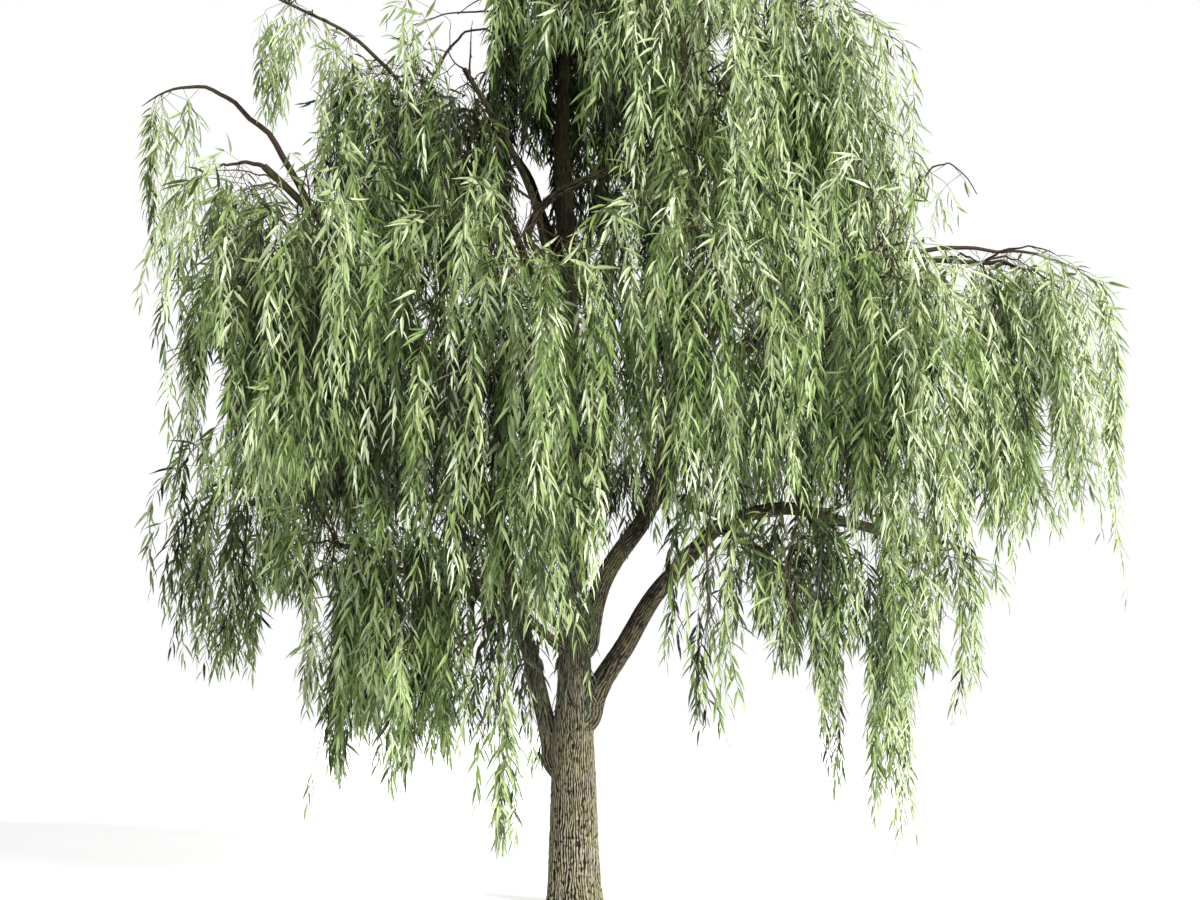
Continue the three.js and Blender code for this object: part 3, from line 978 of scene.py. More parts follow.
def shoots_in(name, rng):
    """Draws starts in a mass, round a few places: level = top - cover - height * random^(1/sink)."""
    spots, bottom, top = columns_through(triangles_of(name))
    height = top - bottom
    volume = height.sum() * COLUMN_STEP**2
    count = max(int(volume * SHOOTS_PER_CUBIC_METRE * trait(DENSITY, name)), FEWEST_SHOOTS)
    tresses = rng.choice(len(spots), max(count // TRESS, FEWEST_TRESSES), p=height / height.sum())
    pick = rng.choice(tresses, count)
    drop = rng.random(count) ** (1 / trait(SINK, name))
    room = np.maximum(height[pick] * START_SHARE - LAST_HANG, LEAST_HEIGHT)
    level = top[pick] - TOP_COVER - drop * room
    places = spots[pick] + rng.normal(0, TRESS_SPREAD, (count, 2))
    middle = [*places.mean(axis=0), level.mean()]
    source = limb_places[np.linalg.norm(limb_places - middle, axis=1).argmin(), :2]
    inward = source - places
    way = np.linalg.norm(inward, axis=1, keepdims=True)
    places = places + inward / way * np.minimum(trait(INSET, name), way)
    starts = np.clip(np.column_stack([places, level]), BOX_LOW + ROOM, BOX_HIGH - ROOM)
    longest = level - bottom[pick] + trait(SPARE, name)
    wanted = rng.uniform(*trait(SHOOT_LENGTH, name), count)
    return starts, np.clip(wanted, SHORTEST_SHOOT, np.maximum(longest, SHORTEST_SHOOT))


shoot_rng = np.random.default_rng(31)
shoots = {name: shoots_in(name, shoot_rng) for name in MASSES}
print("shoots:", sum(len(starts) for starts, _ in shoots.values()))

# %% [markdown]
# ## Branchlets
#
# Between a limb and its shoots comes the part that makes a tree look like one. The starts of
# the shoots are the targets. From a place on the limb a branchlet sets out for the middle of
# its targets, part of the way, arching up. There it forks: the targets are cut in two across
# their longest direction, and each half is grown in the same way until one target is left.
# The larger half carries the branchlet on and the smaller one starts a new one. A branchlet's
# thickness comes from the number of shoots that it feeds.

# %% Grow towards the targets
STRIDE = (0.34, 0.5)  # share of the way to the middle of the targets
ARCH = 0.16  # how high a branchlet arches, as a share of its stride
FLATTER = (1, 1, 0.75)  # targets part sideways sooner than up and down
CUT_RANGE = (0.35, 0.65)


def halves(targets, rng):
    """Cuts the targets across their longest direction, somewhere near the middle."""
    spread = (targets - targets.mean(axis=0)) * FLATTER
    longest = np.linalg.svd(spread, full_matrices=False)[2][0]
    along = spread @ longest
    first = along <= np.quantile(along, rng.uniform(*CUT_RANGE))
    return (first, ~first) if first.sum() >= (~first).sum() else (~first, first)


def grow(start, targets, branch, branches, rng):
    """Adds to a branchlet, as rows of x, y, z and shoots fed, until it has one target left."""
    branch.append([*start, len(targets)])
    if len(targets) == 1:
        branch.append([*targets[0], 1])
        branches.append(np.array(branch))
        return
    reach = targets.mean(axis=0) - start
    stride = rng.uniform(*STRIDE)
    fork = start + stride * reach + ARCH * stride * np.linalg.norm(reach) * UP
    fork[2] = min(fork[2], BOX_HIGH[2] - ROOM)
    larger, smaller = halves(targets, rng)
    grow(fork, targets[larger], branch, branches, rng)
    grow(fork, targets[smaller], [], branches, rng)


# %% Choose which shoots each branchlet feeds
SHOOTS_PER_BRANCHLET = 22
GATHER_ROUNDS = 8
UPHILL = 0.5  # a place above the targets counts as this much further off


def gather(targets, groups, rng):
    """Sorts the targets into groups round moving middles, each target to the nearest middle."""
    middles = targets[rng.choice(len(targets), groups, replace=False)]
    for _ in range(GATHER_ROUNDS):
        gap = np.linalg.norm(targets[:, None] - middles[None], axis=-1)
        belongs = gap.argmin(axis=1)
        middles = np.array([
            targets[belongs == i].mean(axis=0) if (belongs == i).any() else middles[i]
            for i in range(groups)
        ])
    return belongs


def branchlets_in(name, rng):
    """Every branchlet of a mass, from its nearest limb to its shoots."""
    starts = shoots[name][0]
    belongs = gather(starts, max(1, len(starts) // SHOOTS_PER_BRANCHLET), rng)
    branches = []
    for group in np.unique(belongs):
        targets = starts[belongs == group]
        middle = targets.mean(axis=0)
        gap = np.linalg.norm(limb_places - middle, axis=1)
        gap = gap + UPHILL * np.maximum(limb_places[:, 2] - middle[2], 0)
        grow(limb_places[gap.argmin()], targets, [], branches, rng)
    return branches


branch_rng = np.random.default_rng(41)
branchlets = {name: branchlets_in(name, branch_rng) for name in MASSES}
print("branchlets:", sum(len(group) for group in branchlets.values()))

# %% [markdown]
# ## Arches
#
# At the edge of the crown the longest branchlets stand out against the sky: they rise from the
# limb, bend over under their load and carry a curtain on their outer part. Chance would
# seldom put them where this tree has them, so each gets a row of its own, with the mass that it
# belongs to. The top of the crown is closed by arches too, but there a rule is enough: they go
# round the leader in a spiral, as leaves go round a stem.

# %% Where the arches are
# for each mass: the limb, the share of its length where the arch leaves it, heading in degrees,
# rise, span and fall in metres, its shoots, how long they are, and its thickness
ARCHES = {
    "foliage_left_shoulder": [
        ("limb_left", 0.9, 181, 0.8, 1.34, -0.04, 22, 1.25, 7),
        ("limb_left", 1.0, 184, 0.05, 0.45, 0.13, 9, 0.9, 8),
        ("limb_left", 0.95, 215, 0.1, 0.7, 0.1, 8, 1.1, 2),
        ("limb_left", 0.95, 146, 0.1, 0.75, 0.1, 8, 1.2, 2),
        ("limb_left", 0.85, 240, 0.1, 0.7, 0.1, 8, 1.3, 2),
    ],
    "foliage_tress": [
        ("bough_tress", 0.99, 0, 0.02, 0.1, 0.04, 13, 1.0, 2),
    ],
    "foliage_upper_left": [
        ("bough_tress", 0.92, 250, 0.03, 0.14, 0.1, 5, 0.7, 2),
        ("bough_tress", 0.86, 110, 0.03, 0.2, 0.1, 7, 1.2, 2),
        ("bough_tress", 0.8, 235, 0.03, 0.22, 0.1, 7, 1.3, 2),
        ("bough_tress", 0.75, 120, 0.03, 0.25, 0.1, 7, 1.3, 2),
        ("bough_tress", 0.7, 240, 0.06, 0.3, 0.1, 8, 1.3, 2),
        ("bough_tress", 0.64, 100, 0.06, 0.3, 0.1, 8, 1.3, 2),
        ("bough_tress", 0.6, 210, 0.12, 0.4, 0.06, 8, 1.3, 2),
        ("bough_tress", 0.6, 0, 0.7, 0.84, 0.42, 14, 1.1, 3),
    ],
    "foliage_upper_back_left": [
        ("trunk", 0.89, 165, 0.12, 0.4, 0.1, 11, 1.1, 2),
        ("trunk", 0.85, 140, 0.12, 0.5, 0.1, 10, 1.0, 2),
    ],
    "foliage_upper_back_right": [
        ("trunk", 0.86, 65, 0.1, 0.4, 0.1, 13, 1.4, 2),
        ("trunk", 0.8, 40, 0.1, 0.35, 0.1, 10, 1.1, 2),
    ],
    "foliage_upper_front_left": [
        ("trunk", 0.93, 200, 0.08, 0.4, 0.1, 14, 1.2, 2),
    ],
    "foliage_upper_right": [
        ("limb_inner", 1.0, 356, 0.3, 0.8, 0.05, 11, 1.3, 4),
        ("limb_inner", 1.0, 325, 0.3, 0.8, 0.1, 11, 1.3, 4),
        ("limb_inner", 1.0, 35, 0.3, 0.8, 0.1, 10, 1.3, 4),
        ("limb_inner", 0.9, 350, 0.32, 1.26, 0.3, 22, 1.4, 4),
    ],
    "foliage_right_shoulder": [
        ("bough_right_arm", 0.76, 358, 0.74, 0.72, 0.4, 13, 0.52, 2),
        ("limb_inner", 0.8, 8, 0.3, 1.42, 0.4, 18, 1.2, 5),
        ("limb_inner", 0.9, 6, 0.2, 1.34, 0.35, 18, 1.3, 3),
        ("bough_right_arm", 0.72, 20, 0.12, 0.4, 0.1, 9, 0.6, 2),
    ],
    "foliage_right_arm": [
        ("bough_right_arm", 0.75, 357, 0.11, 1.5, 0.24, 24, 1.7, 4),
        ("bough_right_arm", 1.0, 2, 0.0, 0.72, 0.16, 14, 2.0, 2),
        ("bough_right_arm", 1.0, 350, 0.02, 0.6, 0.25, 12, 1.5, 4),
        ("bough_right_arm", 1.0, 325, 0.1, 0.6, 0.12, 9, 1.5, 3),
        ("bough_right_arm", 1.0, 32, 0.1, 0.6, 0.12, 9, 1.5, 3),
        ("bough_right_arm", 0.9, 300, 0.05, 0.5, 0.3, 8, 1.4, 4),
    ],
    "foliage_low_front": [
        ("bough_low_front", 0.5, 15, 0.08, 0.32, 0.05, 7, 1.25, 3),
        ("limb_left", 0.3, 215, 0.12, 0.36, 0.12, 14, 1.15, 2),
        ("limb_left", 0.33, 285, 0.12, 0.4, 0.12, 9, 1.25, 2),
    ],
    "foliage_low_left_front": [
        ("bough_low_left_front", 0.85, 330, 0.05, 0.3, 0.05, 9, 1.45, 2),
        ("bough_low_left_front", 1.0, 200, 0.03, 0.3, 0.05, 11, 1.6, 2),
    ],
    "foliage_low_right": [
        ("limb_right", 0.66, 265, 0.12, 0.4, 0.1, 11, 0.75, 2),
        ("limb_right", 0.78, 200, 0.02, 0.22, 0.05, 9, 1.6, 2),
    ],
    "foliage_low_right_far": [
        ("limb_right", 1.0, 0, 0.02, 0.25, 0.05, 10, 1.25, 2),
    ],
    "foliage_front_right": [
        ("limb_inner", 0.3, 195, 0.2, 0.4, 0.1, 13, 0.7, 2),
    ],
}
print(sum(len(rows) for rows in ARCHES.values()), "arches on", len(ARCHES), "masses")

# %% Grow the arches
ARCH_FEET = 100  # places along a limb where an arch can leave it
ARCH_POINTS = 12
SHOULDER = 0.5  # how far out an arch is highest
SHOULDER_LIFT = 1.75  # the curve bends below its middle handle, so that stands this much higher
TREMBLE = 0.012
BARE_UP_TO = 3.5  # shoots leave an arch beyond this point of it
HALF_WEIGHT = 4  # the point at which an arch has half of its thickness
TWIG_REACH = 0.07
TWIG_FLATNESS = (1, 1, 0.3)
TWIG_DIP = 0.045  # the twigs on an arch leave it downwards
LENGTH_RANGE = (0.6, 1.3)  # times the usual length of an arch's shoots


def arch(limb, leaving, heading, rise, span, fall, count, weight, rng):
    """Out and up, then over: (1-t)^2 foot + 2t(1-t) shoulder + t^2 end, with shoots further out."""
    foot = evenly(every_line[limb][0], ARCH_FEET + 1)[int(ARCH_FEET * leaving)]
    out = np.array([np.cos(np.radians(heading)), np.sin(np.radians(heading)), 0])
    shoulder = foot + SHOULDER * span * out + SHOULDER_LIFT * rise * UP
    end = foot + span * out + (rise - fall) * UP
    t = np.linspace(0, 1, ARCH_POINTS)[:, None]
    line = (1 - t) ** 2 * foot + 2 * t * (1 - t) * shoulder + t**2 * end
    line = line + rng.normal(0, TREMBLE, line.shape) * np.sin(np.pi * t)
    last = ARCH_POINTS - 1
    spots = np.sort(rng.uniform(BARE_UP_TO, last, count - 1))
    whole = spots.astype(int)
    beyond = line[np.minimum(whole + 1, last)]
    near = line[whole] + (spots - whole)[:, None] * (beyond - line[whole])
    tips = near + rng.uniform(-TWIG_REACH, TWIG_REACH, near.shape) * TWIG_FLATNESS - TWIG_DIP * UP
    thickness = [count * weight, count * weight / 2, 1]
    fed = np.interp(np.arange(ARCH_POINTS), [0, HALF_WEIGHT, last], thickness)
    branches = [np.column_stack([line, fed])]
    branches += [np.array([[*a, 1], [*b, 1]]) for a, b in zip(near, tips)]
    return branches, np.vstack([line[-1:], tips])


def add_arches(name, rng):
    """Joins a mass's arches to its branchlets, and their shoots to its shoots."""
    for limb, leaving, heading, rise, span, fall, count, usual, weight in ARCHES.get(name, ()):
        branches, starts = arch(limb, leaving, heading, rise, span, fall, count, weight, rng)
        branchlets[name] += branches
        known, lengths = shoots[name]
        longer = usual * rng.uniform(*LENGTH_RANGE, len(starts))
        shoots[name] = np.vstack([known, starts]), np.concatenate([lengths, longer])


for name in MASSES:
    add_arches(name, branch_rng)
print("branchlets with the arches:", sum(len(group) for group in branchlets.values()))

# %% Arches that close the top of the crown
DOME = "foliage_top_dome"  # a second growth in the place of the top mass
DOME_ARCHES = 16
DOME_FOOT = 0.85  # share of the leader's height at which the lowest one leaves it
DOME_CLIMB = 0.14
DOME_SPAN = 1.5
DOME_NARROWING = 0.8
DOME_RISE = 0.27
DOME_FALL = 0.2
DOME_SHOOTS = 16
DOME_WEIGHT = 2
DOME_LENGTH = (0.5, 1.2)
GOLDEN_ANGLE = 137.5  # degrees from one arch to the next, so that no two lie over each other


def dome_arches(rng):
    """Arches in a spiral up the leader: the higher one leaves it, the shorter it is."""
    branches, starts = [], []
    for i in range(DOME_ARCHES):
        up = i / DOME_ARCHES
        leaving, span = DOME_FOOT + DOME_CLIMB * up, DOME_SPAN - DOME_NARROWING * up
        grown, tips = arch(
            "trunk", leaving, i * GOLDEN_ANGLE, DOME_RISE, span, DOME_FALL, DOME_SHOOTS, DOME_WEIGHT, rng
        )
        branches += grown
        starts.append(tips)
    return branches, np.vstack(starts)


dome_rng = np.random.default_rng(71)
branchlets[DOME], dome_starts = dome_arches(dome_rng)
shoots[DOME] = dome_starts, dome_rng.uniform(*DOME_LENGTH, len(dome_starts))
GROWTHS = [*MASSES, DOME]
STANDS_FOR = {**{name: name for name in MASSES}, DOME: "foliage_top"}
print("shoots on the dome:", len(dome_starts))

# %% [markdown]
# ## Shoots
#
# A shoot goes on in the direction of its branchlet, and its own weight soon turns it
# straight down. At a distance s from its start the share of the first direction that is left is
# exp(-s / bend), and the rest is downwards, with a slow sway. All shoots of a mass are worked out
# together, as one array of shoot, step and coordinate.

# %% Paths of the shoots
SHOOT_STEPS = 9
LAST_STEP = SHOOT_STEPS - 1.001  # just short of the end, so that there is always a next step
BEND = 0.2
BEND_RANGE = (0.5, 1.6)
SWAY = 0.13
SWAY_RATE = 3.2
SWAY_ONSET = 3  # a shoot sways fully after a third of a metre


def shoot_paths(starts, headings, lengths, rng):
    """Adds up small steps: direction(s) = exp(-s/bend) * heading + (1 - exp(-s/bend)) * down + sway."""
    share = np.linspace(0, 1, SHOOT_STEPS)[None, :, None]
    travelled = share * lengths[:, None, None]
    bend = BEND * rng.uniform(*BEND_RANGE, (len(starts), 1, 1))
    left = np.exp(-travelled / bend)
    phase = rng.random((len(starts), 1, 2)) * 2 * np.pi
    wave = SWAY * np.sin(travelled * SWAY_RATE + phase) * np.minimum(travelled * SWAY_ONSET, 1)
    sway = np.concatenate([wave, np.zeros((len(starts), SHOOT_STEPS, 1))], axis=-1)
    direction = unit(left * headings[:, None] - (1 - left) * UP + sway)
    step = direction[:, :-1] * (lengths / (SHOOT_STEPS - 1))[:, None, None]
    paths = np.concatenate([np.zeros((len(starts), 1, 3)), np.cumsum(step, axis=1)], axis=1)
    return np.clip(starts[:, None] + paths, BOX_LOW, BOX_HIGH)


# %% [markdown]
# ## Openings
#
# Between the curtains the sky shows, and in a few places the wood does. Masses cut to leave
# these gaps would need far finer outlines, so the masses stay plain, and a shoot is cut short
# where it would hang across a gap. A gap is a level box as seen by someone standing in front.

# %% Where the sky and the wood show
FAR = 9.0
# for each depth to which openings reach, their left, right, low and high edges, in the upright
# plane through the trunk
OPENINGS = {
    FAR: [  # right through the crown
        (-2.36, -2.03, 0.0, 2.33),  # between the left curtain and the next one
        (-2.5, -2.2, 5.45, 5.8),  # between the left arch and the lone tress
        (-2.13, -1.98, 5.3, 6.7),  # beside the lone tress
        (-2.9, -2.46, 5.7, 6.8),
        (-3.7, -3.2, 3.9, 4.45),  # outside the left curtain
        (-3.7, -3.1, 3.2, 3.9),
        (-3.7, -3.22, 1.9, 3.2),
        (-1.7, -1.47, 0.0, 1.22),
        (-1.9, -1.79, 2.1, 2.45),
        (-1.7, -1.35, 6.45, 6.75),  # over the bough that carries the lone tress
        (-2.79, -2.62, 3.6, 4.2),
        (-2.9, -2.77, 4.84, 5.0),
        (-1.22, -0.9, 0.0, 1.08),  # between tips at the lower left
        (-0.92, -0.74, 0.0, 1.0),
        (-0.44, -0.17, 5.2, 5.65),  # through the fork of the hub
        (0.14, 0.66, 1.3, 2.45),  # between the trunk and the right limb
        (1.0, 1.2, 6.5, 6.72),  # near the top
        (-1.05, -0.66, 6.2, 7.6),  # left of the leader
        (1.25, 1.36, 1.6, 2.42),
        (1.67, 1.76, 1.5, 2.2),
        (1.34, 1.5, 0.0, 2.05),  # between curtains under the right limb
        (1.5, 1.66, 0.0, 1.75),
        (2.02, 2.2, 0.0, 1.9),
        (2.54, 2.8, 0.0, 1.78),
        (3.02, 3.3, 0.9, 2.3),
        (2.73, 2.84, 1.9, 2.25),
        (2.86, 3.05, 4.9, 5.1),  # over the right arm
        (2.62, 2.75, 5.0, 5.38),  # inside the small arch there
        (3.02, 3.3, 5.02, 5.8),
        (3.48, 3.62, 3.3, 3.85),
    ],
    0.0: [  # the trunk shows in front of what hangs behind it
        (-0.52, 0.06, 5.05, 5.8),
        (-0.17, 0.02, 5.8, 6.55),
    ],
    -0.1: [  # the right arm's bough shows between two curtains
        (1.2, 1.38, 4.4, 4.68),
        (1.5, 1.7, 4.72, 4.86),
    ],
    -0.9: [  # and so does the bough from the hub
        (0.1, 0.42, 5.3, 5.55),
    ],
}
print(sum(len(boxes) for boxes in OPENINGS.values()), "openings")

# %% Cut the shoots at the openings
STEEPEST, FLATTEST = -0.6, 0.45  # how far down and up a shoot may point where it starts
TOO_SHORT = 1  # a shoot with no more steps than this before an opening is left out


def first_inside(paths):
    """The step at which each path first shows in an opening; the number of steps if it never does."""
    scale = EYE_DISTANCE / (EYE_DISTANCE + paths[..., 1])
    across = SIDE_STEP + (paths[..., 0] - SIDE_STEP) * scale
    level = EYE_HEIGHT + (paths[..., 2] - EYE_HEIGHT) * scale
    inside = np.zeros(across.shape, dtype=bool)
    for back, boxes in OPENINGS.items():
        for left, right, low, high in boxes:
            open_here = (across > left) & (across < right) & (level > low) & (level < high)
            inside |= open_here & (paths[..., 1] < back)
    return np.where(inside.any(axis=1), inside.argmax(axis=1), paths.shape[1])


def between_steps(paths, rows, step):
    """Places on the paths after a number of steps that need not be whole, and the way on there."""
    whole = step.astype(int)
    part = (step - whole)[..., None]
    here, beyond = paths[rows, whole], paths[rows, whole + 1]
    return here * (1 - part) + beyond * part, beyond - here


def cut_short(paths, lengths, steps):
    """Each path again, in as many steps, but ending where the given step was."""
    share = steps / SHOOT_STEPS
    wanted = np.linspace(0, 1, SHOOT_STEPS)[None] * share[:, None] * LAST_STEP
    return between_steps(paths, np.arange(len(paths))[:, None], wanted)[0], lengths * share


def shoots_from(name, rng):
    """One shoot from the end of each branchlet; a branchlet whose shoot is left out ends earlier."""
    branches = branchlets[name]
    ends = np.array([branch[-1, :3] for branch in branches])
    before = np.array([branch[-2, :3] for branch in branches])
    starts, lengths = shoots[name]
    order = np.array([np.abs(starts - end).sum(axis=1).argmin() for end in ends])
    headings = unit(ends - before)
    headings[:, 2] = np.clip(headings[:, 2], STEEPEST, FLATTEST)
    paths = shoot_paths(ends, unit(headings), lengths[order], rng)
    steps = first_inside(paths)
    kept = steps > TOO_SHORT
    trimmed = [branch if stays else branch[:-1] for branch, stays in zip(branches, kept)]
    branchlets[name] = [branch for branch in trimmed if len(branch) > 1]
    return cut_short(paths[kept], lengths[order][kept], steps[kept])


path_rng = np.random.default_rng(51)
hanging = {name: shoots_from(name, path_rng) for name in GROWTHS}
print("length of shoots:", round(float(sum(lengths.sum() for _, lengths in hanging.values()))), "m")

# %% Tubes for many lines at once
def many_tubes(lines, radii, sides):
    """Rings round every line at once: line + radius * (cos a * side + sin a * other)."""
    side, other = frames_along(lines)
    angle = np.linspace(0, 2 * np.pi, sides, endpoint=False)
    round_about = (
        np.cos(angle)[:, None] * side[..., None, :] + np.sin(angle)[:, None] * other[..., None, :]
    )
    rings = lines[..., None, :] + radii[..., None, None] * round_about
    count, steps = lines.shape[:2]
    points = np.concatenate([rings.reshape(count, -1, 3), lines[:, :1], lines[:, -1:]], axis=1)
    one = tube_triangles(steps, sides)
    triangles = one[None] + (np.arange(count) * points.shape[1])[:, None, None]
    return points.reshape(-1, 3), triangles.reshape(-1, 3)


def joined(parts):
    """Several sets of points and triangles as one, with the corner numbers moved along."""
    offset = np.cumsum([0] + [len(points) for points, _ in parts[:-1]])
    points = np.concatenate([points for points, _ in parts])
    triangles = np.concatenate([faces + shift for (_, faces), shift in zip(parts, offset)])
    return points, triangles


# %% Build the twigs of each mass
TIP_RADIUS = 0.0023
TIP_TAPER = 0.3  # the radius at a shoot's tip, as a share of the one at its start
THICKENING = 0.49  # radius = tip radius * shoots fed ^ thickening
BRANCH_SIDES = 4
SHOOT_SIDES = 3
STEPS_BETWEEN_FORKS = 2


def branch_tubes(branches):
    """Smooths every branchlet and makes its tube, those with as many forks together."""
    parts = []
    for forks in sorted({len(branch) for branch in branches}):
        alike = [smooth_line(b, STEPS_BETWEEN_FORKS) for b in branches if len(b) == forks]
        rows = np.array(alike)
        radii = TIP_RADIUS * np.maximum(rows[..., 3], 1) ** THICKENING
        parts.append(many_tubes(rows[..., :3], radii, BRANCH_SIDES))
    return joined(parts)


def build_twigs(name):
    """Branchlets and shoots of a mass as one piece, in dark bark and in green."""
    thick = branch_tubes(branchlets[name])
    paths, lengths = hanging[name]
    radii = TIP_RADIUS * np.linspace(1, TIP_TAPER, SHOOT_STEPS)[None] * np.ones((len(paths), 1))
    thin = many_tubes(paths, radii, SHOOT_SIDES)
    points, triangles = joined([thick, thin])
    shades = np.repeat([0, 1], [len(thick[1]), len(thin[1])])
    return new_piece(
        name.replace("foliage", "twigs"), points, triangles, twig_materials,
        [STANDS_FOR[name]], shades=shades,
    )


twig_pieces = [build_twigs(name) for name in GROWTHS]
print("twigs:", sum(len(piece.data.polygons) for piece in twig_pieces), "triangles")

# %% [markdown]
# ## Leaves
#
# A willow leaf is a narrow blade, about seven times as long as it is wide, folded a little along
# its midrib and curved down towards the tip. A picture of a leaf on a flat card would need fewer
# faces, but its edge would be a matter of the paint. Six triangles round a point on the midrib
# give the real outline and the fold. Leaves stand one after the other round the shoot, each
# turned by two fifths of a circle from the last, lean away from it and droop. They get smaller
# towards the tip.

# %% One leaf
LEAF_OUTLINE = np.array([
    # along, across, above the plane, as shares of length, half width and length
    [0.00, 0.00, 0.00],
    [0.26, 0.92, 0.055],
    [0.58, 0.76, 0.050],
    [1.00, 0.00, -0.03],
    [0.58, -0.76, 0.050],
    [0.26, -0.92, 0.055],
    [0.45, 0.00, 0.030],
])
LEAF_TRIANGLES = np.array([[6, i, (i + 1) % 6] for i in range(6)])[:, ::-1]
print("a leaf has", len(LEAF_OUTLINE), "points and", len(LEAF_TRIANGLES), "triangles")

# %% Place the leaves along the shoots
LEAF_SPACING = 0.037
BARE_START = 0.12  # no leaves on this much of a shoot
MOST_BARE = 0.3  # or on this share of a short one
FEWEST_LEAVES = 2
WITHIN_SPACING = (0.1, 0.9)  # where in its own stretch of the shoot a leaf stands
SIDE_HINT = (0.3, 1.0, 0.2)  # the way that a shoot's first side is taken across
SIDE_SPREAD = 0.15
LEAF_LENGTH = 0.195
LEAF_SIZES = (0.75, 1.15)
SMALLER_AT_TIP = 0.35
LEAF_WIDTH = 0.145  # share of the length
LEAN = (46, 24)  # degrees from the shoot, at its start and at its tip
LEAN_SPREAD = 8
DROOP = 0.25
ROLL_SPREAD = 0.7  # a leaf is turned about its own midrib
TWO_FIFTHS = 2 * np.pi * 2 / 5
TURN_OF_SHOOT = 1.7  # from one shoot's first leaf to the next one's
TURN_SPREAD = 0.35


def leaf_places(paths, lengths, rng):
    """Which shoot each leaf is on, how far along, its number on the shoot and the spot itself."""
    counts = np.maximum(((lengths - BARE_START) / LEAF_SPACING).astype(int), FEWEST_LEAVES)
    shoot = np.repeat(np.arange(len(paths)), counts)
    number = np.arange(len(shoot)) - np.repeat(np.cumsum(counts) - counts, counts)
    share = (number + rng.uniform(*WITHIN_SPACING, len(shoot))) / counts[shoot]
    share[number == counts[shoot] - 1] = 1.0
    bare = np.minimum(BARE_START / lengths, MOST_BARE)[shoot]
    share = bare + (1 - bare) * share
    step = np.minimum(share * (SHOOT_STEPS - 1), LAST_STEP)
    spot, onward = between_steps(paths, shoot, step)
    return shoot, number, share, spot, unit(onward)


def leaves_on(paths, lengths, rng):
    """Corner points of every leaf: spot + length * (along * axis + across * width + above * face)."""
    shoot, number, share, spot, ahead = leaf_places(paths, lengths, rng)
    count = len(shoot)
    side = unit(np.cross(ahead, rng.normal(size=(count, 3)) * SIDE_SPREAD + SIDE_HINT))
    other = np.cross(ahead, side)
    turn = number * TWO_FIFTHS + shoot * TURN_OF_SHOOT + rng.normal(0, TURN_SPREAD, count)
    away = np.cos(turn)[:, None] * side + np.sin(turn)[:, None] * other
    lean = LEAN[0] + (LEAN[1] - LEAN[0]) * share + rng.normal(0, LEAN_SPREAD, count)
    lean = np.radians(lean)[:, None]
    axis = unit(np.cos(lean) * ahead + np.sin(lean) * away - DROOP * UP)
    face = unit(away - (away * axis).sum(-1, keepdims=True) * axis)
    width = np.cross(face, axis)
    roll = rng.normal(0, ROLL_SPREAD, count)[:, None]
    face, width = np.cos(roll) * face + np.sin(roll) * width, np.cos(roll) * width - np.sin(roll) * face
    size = LEAF_LENGTH * rng.uniform(*LEAF_SIZES, count) * (1 - SMALLER_AT_TIP * share**2)
    blade = LEAF_OUTLINE * [1, LEAF_WIDTH / 2, 1]
    points = spot[:, None] + size[:, None, None] * (
        blade[:, :1] * axis[:, None] + blade[:, 1:2] * width[:, None] + blade[:, 2:] * face[:, None]
    )
    return points, shoot, number


# %% A green for each spray, and the leaves of each mass
SPRAY = 9  # leaves that share a shade
MOST_SPRAYS = 100  # on one shoot
CROWN_REACH = (BOX_HIGH - BOX_LOW) / 2
CROWN_LEVEL = 4.0  # where the crown is widest
CROWN_HALF = 4.4  # from there to where it would close above and below
MOST_CLOSED = 0.95
# leaves deep inside the crown take darker greens as painted shade, and those near its edge paler ones as
# painted light
PAINTED_LIGHT_PER_REACH = 6.6
PAINTED_SHADE_WITHIN = 0.42
SHADE_SPREAD = 1.4
PAINTED_LIGHT_UP = 0.95  # painted light per metre above the widest level
PAINTED_SHADE_LEFT = 0.85  # painted shade per metre, on the side away from the sun
LEFT_FROM = 1  # metres left of the trunk
SUNNY_BELOW = 3.3
PAINTED_LIGHT_LOW = 0.3  # painted light per metre, under the crown's edge on the sunny side
PALER_REACH = 2


def greens_with_painted_light(spots, rng):
    """Painted light and shade: paler near the edge of a round crown, shade = per reach * (reach -
    shaded) + chance, then painted light at the top and low on the sunny side, and painted shade on the
    side away from the sun."""
    closed = np.clip((spots[:, 2] - CROWN_LEVEL) / CROWN_HALF, -MOST_CLOSED, MOST_CLOSED)
    narrower = np.sqrt(1 - closed**2)
    across = (spots[:, :2] / CROWN_REACH[:2]) / narrower[:, None]
    reach = np.linalg.norm(across, axis=1)
    shade = PAINTED_LIGHT_PER_REACH * (reach - PAINTED_SHADE_WITHIN) + rng.normal(0, SHADE_SPREAD, len(spots))
    shade = shade + PAINTED_LIGHT_UP * np.maximum(spots[:, 2] - CROWN_LEVEL, 0)
    painted_shade_side = np.maximum(-spots[:, 0] - LEFT_FROM, 0) * np.clip(spots[:, 2] - SUNNY_BELOW, 0, 1)
    shade = shade - PAINTED_SHADE_LEFT * painted_shade_side
    painted_sunlight = np.clip(spots[:, 0], 0, PALER_REACH) * np.clip(SUNNY_BELOW - spots[:, 2], 0, 1)
    shade = shade + PAINTED_LIGHT_LOW * painted_sunlight
    return np.clip(np.round(shade), 0, len(LEAF_GREENS) - 1).astype(int)


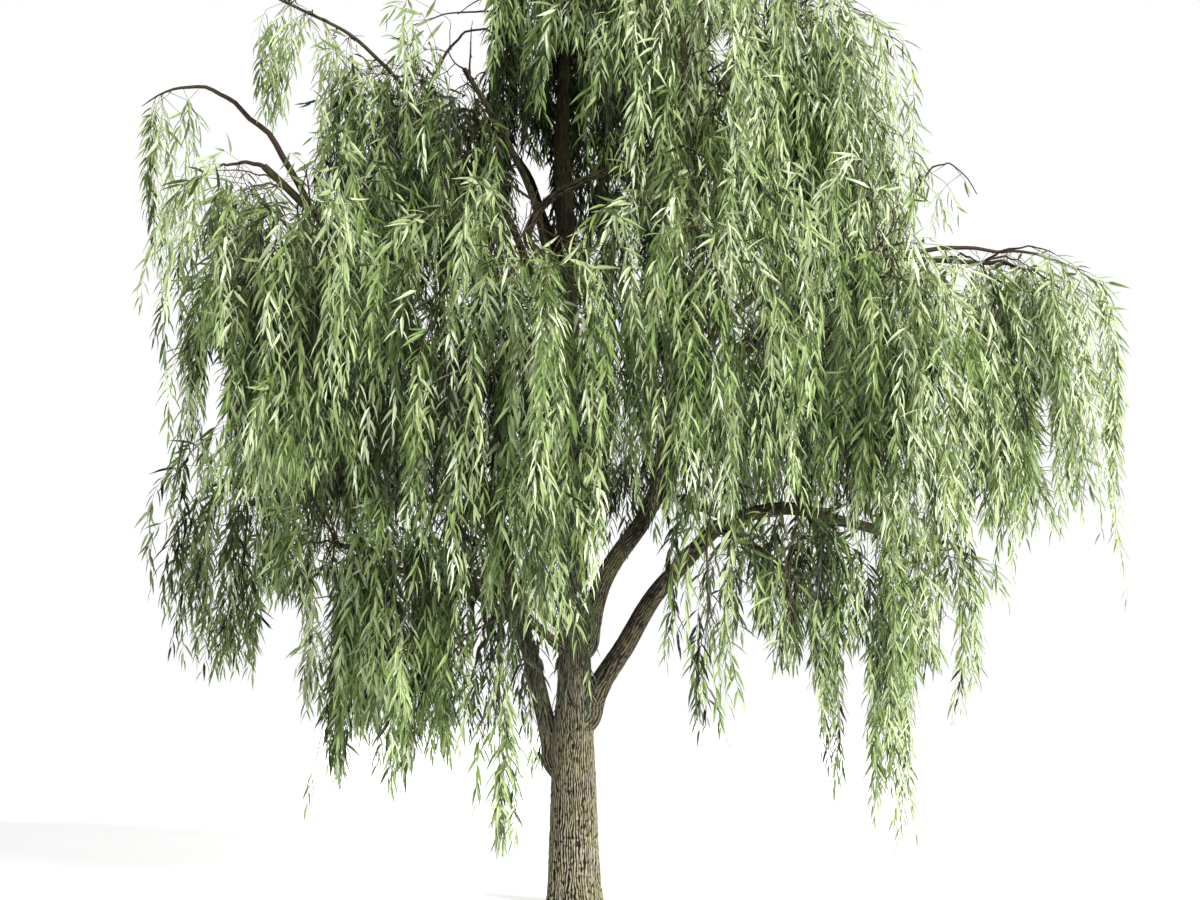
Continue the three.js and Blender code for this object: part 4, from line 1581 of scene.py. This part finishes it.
def build_leaves(name, rng):
    """Leaves of a mass as one piece, with a green for each spray."""
    paths, lengths = hanging[name]
    points, shoot, number = leaves_on(paths, lengths, rng)
    corners = LEAF_OUTLINE.shape[0]
    triangles = LEAF_TRIANGLES[None] + (np.arange(len(points)) * corners)[:, None, None]
    sprays = shoot * MOST_SPRAYS + number // SPRAY
    _, first, spray = np.unique(sprays, return_index=True, return_inverse=True)
    # each spray's green carries painted light and shade from its place in the crown
    shades = np.repeat(greens_with_painted_light(points[first, 0], rng)[spray], len(LEAF_TRIANGLES))
    return new_piece(
        name.replace("foliage", "leaves"), points.reshape(-1, 3), triangles.reshape(-1, 3),
        leaf_materials, [STANDS_FOR[name]], smooth=False, shades=shades,
    )


leaf_rng = np.random.default_rng(61)
leaf_pieces = [build_leaves(name, leaf_rng) for name in GROWTHS]
print("leaves:", sum(len(piece.data.polygons) for piece in leaf_pieces) // len(LEAF_TRIANGLES))

# %% [markdown]
# ## The floor
#
# A wide pale floor carries the tree and throws light up under the crown, as studio paper does. It
# glows a little, because paper in this light would come out grey beside the white surround.

# %% Floor
FLOOR_REACH = 60.0
FLOOR_DROP = 0.003  # just under the flat cut of the trunk
FLOOR_GLOW = 0.74
FLOOR_WHITE = (246, 246, 244)
PAPER_FINISH = (0.9, 0.1)


def build_floor():
    """Four corners of a level square."""
    corner = np.array([[-1, -1], [1, -1], [1, 1], [-1, 1]]) * FLOOR_REACH
    points = np.column_stack([corner, np.full(4, -FLOOR_DROP)])
    mesh = bpy.data.meshes.new("floor")
    mesh.from_pydata(points.tolist(), [], [[0, 1, 2, 3]])
    material = plain_material("pale_paper", FLOOR_WHITE, PAPER_FINISH)
    shader = material.node_tree.nodes["Principled BSDF"]
    shader.inputs["Emission Color"].default_value = paint(255, 255, 255)
    shader.inputs["Emission Strength"].default_value = FLOOR_GLOW
    mesh.materials.append(material)
    floor = bpy.data.objects.new("floor", mesh)
    bpy.context.collection.objects.link(floor)
    return floor


floor = build_floor()
print("the floor is", 2 * FLOOR_REACH, "m wide")

# %% [markdown]
# ## Triangles
#
# The triangles of the trunk, limbs, twigs and leaves are counted. The visual model has to stay
# in the box of the imported model.

# %% Triangles in all
total = sum(len(o.data.polygons) for o in [trunk_piece, *limb_pieces, *twig_pieces, *leaf_pieces])
print("triangles in all:", total)
